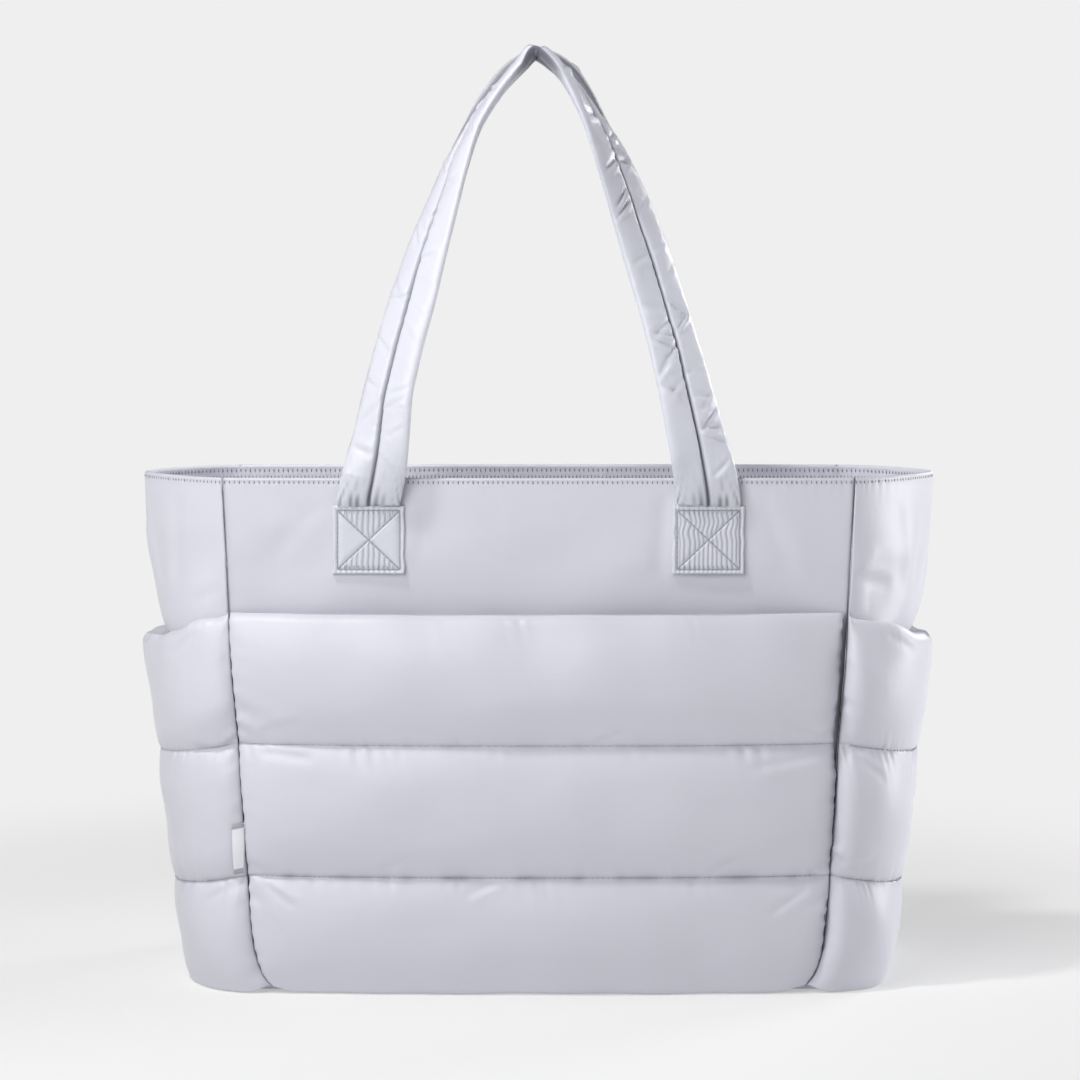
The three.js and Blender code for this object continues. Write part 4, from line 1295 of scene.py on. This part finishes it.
def patch_lines():
    """The box and the cross, in millimetres from the patch's middle: pairs of end points."""
    w = STITCH_LINES_W
    h = STITCH_LINES_H
    box = [((-w, -h), (w, -h)), ((w, -h), (w, h)), ((w, h), (-w, h)), ((-w, h), (-w, -h))]
    return box + [((-w, -h), (w, h)), ((-w, h), (w, -h))]


def lines_away(px, py):
    """Distance to the nearest of the box's and the cross's lines."""
    return np.min([line_distance(px, py, *ends) for ends in patch_lines()], axis=0)


def patch_height(px, py, seed, busy):
    """How far the patch stands off its seat: cushions between the stitch lines, upright gathers
    whose valleys are narrow, and a rise near the top where the strap runs in under it. busy is the
    gathers' strength in the triangles beside the cross, where 1 is as strong as above and below it."""
    nearest = lines_away(px, py)
    cushion = 0.8 * (1 - np.exp(-(nearest / 1.6) ** 1.5))
    between_lines = 1 - np.exp(-(nearest / 0.7) ** 2)
    strap_under = 0.8 * np.clip((py + 2) / 18, 0, 1) * np.exp(-(px / 17) ** 8)
    gathers = -0.42 * gather_valleys(px, py, seed, busy) * between_lines
    diagonal = (px * FOOT_HEIGHT - py * FOOT_WIDTH) / math.hypot(FOOT_WIDTH, FOOT_HEIGHT)
    beside = 0.35 * np.exp(-((diagonal - 1.2) / 0.6) ** 2) * (np.abs(py) < FOOT_HEIGHT / 2 - 4)
    return FOOT_THICKNESS - 1.0 + cushion + gathers + beside + strap_under


def gather_valleys(px, py, seed, busy):
    """Share of an upright gather's valley at each place: |cos|^5 across the patch, bent by slow
    waves up it."""
    bend = (0.15 + 0.2 * busy) * (ripple(py, seed, 9, 22) + ripple(px, seed + 1, 9, 20))
    valley = np.abs(np.cos(math.pi * (px + bend) / mix(3.2, 2.7, busy))) ** 5
    upright = np.abs(py) / FOOT_HEIGHT - np.abs(px) / FOOT_WIDTH
    return valley * mix(np.clip(upright * 12 + 0.5, 0, 1), 1.0, busy)


def patch(name, face, place, seed, busy):
    """A foot patch on the wall's face. Returns what the stitches on it need to know."""
    columns, rows = FRONT_PATCH_GRID if face < 0 else BACK_PATCH_GRID
    px, py = np.meshgrid(np.linspace(-FOOT_WIDTH / 2, FOOT_WIDTH / 2, columns),
                         np.linspace(-FOOT_HEIGHT / 2, FOOT_HEIGHT / 2, rows))
    z = BAG_HEIGHT - FOOT_DROP - FOOT_HEIGHT / 2 + py
    b = body(z)
    x = place + px
    high = patch_height(px, py, seed, busy)
    edge = np.minimum(FOOT_WIDTH / 2 - np.abs(px), FOOT_HEIGHT / 2 - np.abs(py))
    share = edge_share(edge, 0.25, 1.4)
    seat = wall_depth(b, x / b.seam)
    wobble = 0.25 * ripple(py, seed + 31, 9, 22) * np.clip(np.abs(px) - 17, 0, 4) / 4
    outer = grid_of(x + wobble, face * (seat + PAD_GAP + high * share), z)
    inner = grid_of(x + wobble, face * (seat + PAD_GAP * 0.6), z)
    # The cloth is darker along the stitch lines, and painted shade darkens the valleys of the upright
    # gathers
    pulled = 0.75 * np.exp(-(lines_away(px, py) / 0.5) ** 2)
    marks = np.maximum(pulled, 0.5 * gather_valleys(px, py, seed, busy))
    piece = slab(name, outer, inner, marks * np.clip((edge - 1.5) * 2, 0, 1))
    dress(piece, "strap", strap_cloth, lining_cloth)
    return SimpleNamespace(face=face, place=place, seed=seed, busy=busy)


patches = [
    patch("front_left_foot", -1, -FRONT_SPREAD, 401, 0.0),
    patch("front_right_foot", -1, FRONT_SPREAD, 431, 1.0),
    patch("back_left_foot", 1, -BACK_SPREAD, 461, 0.1),
    patch("back_right_foot", 1, BACK_SPREAD, 491, 0.3),
]

# %% [markdown]
# ## Stitches
# Each stitch is a short raised loop of thread whose ends dive into the cloth. There are hundreds, so
# each has only 28 faces, and one function lays them along any line of points.

# %% Laying stitches along a line


def resample(points, out, pitch):
    """Points and normals at even steps of pitch along a line, and the direction of the line there."""
    walk = walked(points)
    count = max(int(walk[-1] / pitch), 1)
    at = (np.arange(count) + 0.5) * walk[-1] / count

    def read(values, where):
        return np.stack([np.interp(where, walk, values[:, k]) for k in range(3)], axis=1)

    way = unit(read(points, at + 0.4) - read(points, at - 0.4))
    up = read(out, at)
    return read(points, at), way, unit(up - way * np.sum(up * way, axis=1, keepdims=True))


def stitches(points, out, pitch, length, thick, lift, crossing):
    """Points and faces of a row of stitches. A stitch is six-sided, thin at its ends and bowed: its
    middle stands lift plus its own radius above the line, and its ends sink in. A crossing stitch
    lies across the line, as an overcast one does."""
    place, way, up = resample(points, out, pitch)
    aside = np.cross(way, up)
    if crossing:
        way, aside = aside, -way
    run = np.array([-1.0, -0.72, 0.0, 0.72, 1.0]) * length / 2
    radius = np.array([0.3, 0.85, 1.0, 0.85, 0.3]) * thick / 2
    bow = np.array([-0.35, 0.1, 0.35, 0.1, -0.35]) * thick + lift
    turn = np.arange(6) * math.pi / 3
    local_x = np.repeat(run, 6)
    local_y = np.outer(radius, np.cos(turn)).ravel()
    local_z = (np.outer(radius, np.sin(turn)) + bow[:, None]).ravel()
    shape = (place[:, None, :] + way[:, None, :] * local_x[None, :, None]
             + aside[:, None, :] * local_y[None, :, None] + up[:, None, :] * local_z[None, :, None])
    at = np.arange(30).reshape(5, 6)
    on = np.roll(at, -1, axis=1)
    skin = np.stack([at[:-1].ravel(), at[1:].ravel(), on[1:].ravel(), on[:-1].ravel()], axis=1)
    ends = np.array([[0, 1, 2, 3], [0, 3, 4, 5], [27, 26, 25, 24], [29, 28, 27, 24]])
    one = np.concatenate([skin, ends])
    faces = (one[None] + 30 * np.arange(len(place))[:, None, None]).reshape(-1, 4)
    return shape.reshape(-1, 3), faces


def sew(name, rows_of_stitches, thread=hole_shade_thread):
    """One object from several rows of stitches."""
    points = []
    faces = []
    start = 0
    for p, f in rows_of_stitches:
        points.append(p)
        faces.append(f + start)
        start += len(p)
    points = np.concatenate(points)
    uv = points[:, [0, 2]] * MM
    piece = make_mesh(name, points, np.concatenate(faces), uv, marks=np.zeros(len(points)))
    return dress(piece, "shell", thread)


# %% The rim's topstitching and the patches' boxes


def round_rim(depth, offset):
    """A closed line round the bag, that far below the rim and that far out from the walls."""
    points = ring(BAG_HEIGHT - depth, offset)
    return np.concatenate([points, points[:1]])


rim_line = round_rim(HEM_STITCH, -HEM_DIP)
rim_out = unit(np.gradient(rim_line, axis=0)[:, [1, 0, 2]] * np.array([1, -1, 0]))
rim_rows = [stitches(rim_line, rim_out, 2.9, 2.2, 0.65, 0.0, True)]
for depth, pitch, length, thick in ((3.4, 2.9, 2.2, 0.6), (8.2, 2.3, 3.6, 0.65)):
    facing_line = round_rim(depth, -WALL - SEAM_GAP - FACING_THICKNESS)
    rim_rows.append(stitches(facing_line, -rim_out, pitch, length, thick, 0.0, True))
sew("rim_topstitching", rim_rows)


def patch_rows(p):
    """The rows of stitches of one patch, laid on its own surface."""
    rows = []
    lines = [(start, end, False) for start, end in patch_lines()]
    for high in (STITCH_LINES_H - 1.4, -STITCH_LINES_H + 1.6):
        lines.append(((-STITCH_LINES_W, high), (STITCH_LINES_W, high), True))
    s = np.linspace(0, 1, 60)
    for start, end, crossing in lines:
        px = mix(start[0], end[0], s)
        py = mix(start[1], end[1], s)
        z = BAG_HEIGHT - FOOT_DROP - FOOT_HEIGHT / 2 + py
        b = body(z)
        x = p.place + px
        high = patch_height(px, py, p.seed, p.busy)
        y = p.face * (wall_depth(b, x / b.seam) + PAD_GAP + high)
        points = np.column_stack([x, y, z])
        out = np.tile([0.0, float(p.face), 0.05], (len(s), 1))
        rows.append(stitches(points, out, 2.8, 2.0, 0.36, 0.0, crossing))
    return rows


sew("foot_stitching", [row for p in patches for row in patch_rows(p)])

# %% The quilting seams' stitches
BESIDE_SEAM = 9
END_ROOM = 6
quilting = []
for made, overcast in ((front_face, (1,)), (left_face, (1,)), (right_face, (1, 2)), (back_surface, ())):
    for k in (1, 2):
        row = k * made.rows.count
        points = made.grid[row, END_ROOM:-END_ROOM]
        out = (made.out[row - BESIDE_SEAM] + made.out[row + BESIDE_SEAM])[END_ROOM:-END_ROOM]
        if k in overcast:
            quilting.append(stitches(points, out, 3.1, 3.0, 0.6, 0.35, True))
        else:
            quilting.append(stitches(points, out, 4.4, 3.0, 0.45, 0.15, False))
sew("quilting_stitches", quilting, quilting_yarn)

# %% [markdown]
# ## The label
# A folded white ribbon is caught in the left side seam and lies on the side pocket. It is blank. It
# follows the pad's own swollen face, so it is a small grid lifted off that face.

# %% The blank folded label
LABEL_ROWS = 40
LABEL_LEAN = 0.8
LABEL_LEVEL = 60


def label_surface(reach, lift):
    """A strip of the left pocket's face beside the seam, leaning a little. reach is the distance of
    each column from the seam and lift its height above the face."""
    grid = left_face.grid
    z = grid[:, 0, 2]
    heights = np.linspace(LABEL_TOP - LABEL_LENGTH, LABEL_TOP, LABEL_ROWS)
    lean = np.linspace(-LABEL_LEAN, LABEL_LEAN, LABEL_ROWS)[:, None]
    walk = walked(grid[LABEL_LEVEL])
    row = np.interp(heights, z, np.arange(len(z)))[:, None]
    column = np.clip(np.interp(reach, walk, np.arange(len(walk)))[None, :] - lean, 0, None)
    i = row.astype(int)
    j = column.astype(int)
    down = (row - i)[..., None]
    side = (column - j)[..., None]
    low = mix(grid[i, j], grid[i, j + 1], side)
    high = mix(grid[i + 1, j], grid[i + 1, j + 1], side)
    out = left_face.out[i, j]
    return mix(low, high, down) + out * lift[None, :, None]


# The ribbon's upper layer runs out from the seam, turns over at its fold and runs back underneath
FOLD_RADIUS = 0.3
LABEL_SEAT = 0.95
LABEL_START = 1.2
run = np.linspace(0, LABEL_WIDTH - FOLD_RADIUS, 14)
bend = np.radians(np.linspace(90, -90, 9))[1:-1]
reach = np.concatenate([run, LABEL_WIDTH - FOLD_RADIUS + FOLD_RADIUS * np.cos(bend), run[::-1]])
lift = np.concatenate([np.full(14, FOLD_RADIUS), FOLD_RADIUS * np.sin(bend), np.full(14, -FOLD_RADIUS)])
ribbon = label_surface(LABEL_START + reach, LABEL_SEAT + lift)
ribbon_out = normals(ribbon, -1)
# Painted shade: the label is darkened over its ends, at its edge in the seam and along its fold
label_shade = np.zeros(ribbon.shape[:2])
label_shade[:4] = 1.0
label_shade[-4:] = 1.0
label_shade[:, :2] = 0.7
label_shade[:, 13:20] = 0.7
label = slab("blank_label", ribbon + ribbon_out * 0.12, ribbon - ribbon_out * 0.12, label_shade)
dress(label, "label", label_cloth, label_cloth)
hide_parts("seam_label")

# %% [markdown]
# ## Studio
# The photograph was taken on a seamless pale floor. A large soft lamp hangs to the left and above, so
# the shadow is short and falls to the right, and the white room fills the rest. The floor is mostly
# its own light, which keeps the shadow faint, and it fades into the room's tone with distance.

# %% Floor, room and lamps
FLOOR_REACH = 12.0
corners = [(x * FLOOR_REACH, y * FLOOR_REACH, 0) for x, y in ((-1, -1), (1, -1), (1, 1), (-1, 1))]
floor_mesh = bpy.data.meshes.new("studio_floor")
floor_mesh.from_pydata(corners, [], [(0, 1, 2, 3)])
floor = bpy.data.objects.new("studio_floor", floor_mesh)
scene.collection.objects.link(floor)

PAPER = "EFEFEF"
BAG_MIDDLE = (0.0, 0.0, 0.22)
paper = bpy.data.materials.new("studio_paper")
tree = bare_tree(paper)
where = add(tree, "ShaderNodeTexCoord").outputs["Object"]
away = add(tree, "ShaderNodeVectorMath", {"operation": "LENGTH"}, {0: where})
near = add(tree, "ShaderNodeMapRange", {"interpolation_type": "SMOOTHSTEP"},
           {"Value": away.outputs["Value"], "From Min": 0.36, "From Max": 0.8,
            "To Min": 0.6, "To Max": 0.0})
glow = add(tree, "ShaderNodeEmission", inputs={"Color": linear(PAPER), "Strength": 1.0})
card = add(tree, "ShaderNodeBsdfDiffuse", inputs={"Color": linear("F2F2F2")})
both = add(tree, "ShaderNodeMixShader",
           inputs={0: near.outputs["Result"], 1: glow.outputs[0], 2: card.outputs[0]})
add(tree, "ShaderNodeOutputMaterial", inputs={"Surface": both.outputs[0]})
floor_mesh.materials.append(paper)

world = bpy.data.worlds.new("white_room")
tree = bare_tree(world)
seen = add(tree, "ShaderNodeLightPath").outputs["Is Camera Ray"]
walls = add(tree, "ShaderNodeBackground", inputs={"Color": linear(PAPER), "Strength": 1.0})
room = add(tree, "ShaderNodeBackground", inputs={"Color": linear("EEF0F5"), "Strength": 0.08})
pick = add(tree, "ShaderNodeMixShader", inputs={0: seen, 1: room.outputs[0], 2: walls.outputs[0]})
add(tree, "ShaderNodeOutputWorld", inputs={"Surface": pick.outputs[0]})
scene.world = world


def lamp(name, place, size, power, tone="FFFFFF"):
    """A square soft lamp at a place in metres, turned towards the middle of the bag."""
    light = bpy.data.lights.new(name, "AREA")
    light.shape = "SQUARE"
    light.size = size
    light.energy = power
    light.color = linear(tone)[:3]
    made = bpy.data.objects.new(name, light)
    scene.collection.objects.link(made)
    made.location = place
    way = np.array(BAG_MIDDLE) - np.array(place)
    tilt = math.atan2(math.hypot(way[0], way[1]), -way[2])
    made.rotation_euler = (tilt, 0.0, math.atan2(way[1], way[0]) - math.pi / 2)


lamp("key_lamp", (-0.62, -0.46, 1.75), 0.16, 13.5, "FFFDFA")
lamp("front_lamp", (-0.55, -1.0, 0.95), 0.8, 10.3)
lamp("right_lamp", (1.5, 0.2, 0.3), 0.55, 10.6)
lamp("left_lamp", (-1.5, 0.2, 0.8), 0.8, 1.5)
lamp("right_front_lamp", (1.1, -1.3, 1.3), 0.6, 0.6)
lamp("back_lamp", (1.25, 1.05, 0.75), 0.6, 11.0)

# %% [markdown]
# ## Camera
# The photograph was taken from the front with a long lens, slightly above the bag.

# %% Camera and view
PICTURE_WIDTH = 1080
FOCAL_LENGTH = 3662.85 / PICTURE_WIDTH
SENSOR_WIDTH = 36.0
CAMERA_PLACE = (0.0008, -2.2, 0.43245)
CAMERA_DIP = 4.5276
camera = bpy.data.objects.new("camera", bpy.data.cameras.new("camera"))
scene.collection.objects.link(camera)
camera.data.sensor_width = SENSOR_WIDTH
camera.data.lens = FOCAL_LENGTH * SENSOR_WIDTH
camera.location = CAMERA_PLACE
camera.rotation_euler = (math.radians(90 - CAMERA_DIP), 0.0, 0.0)
camera.data.clip_end = 60.0
scene.camera = camera
scene.view_settings.view_transform = "Standard"
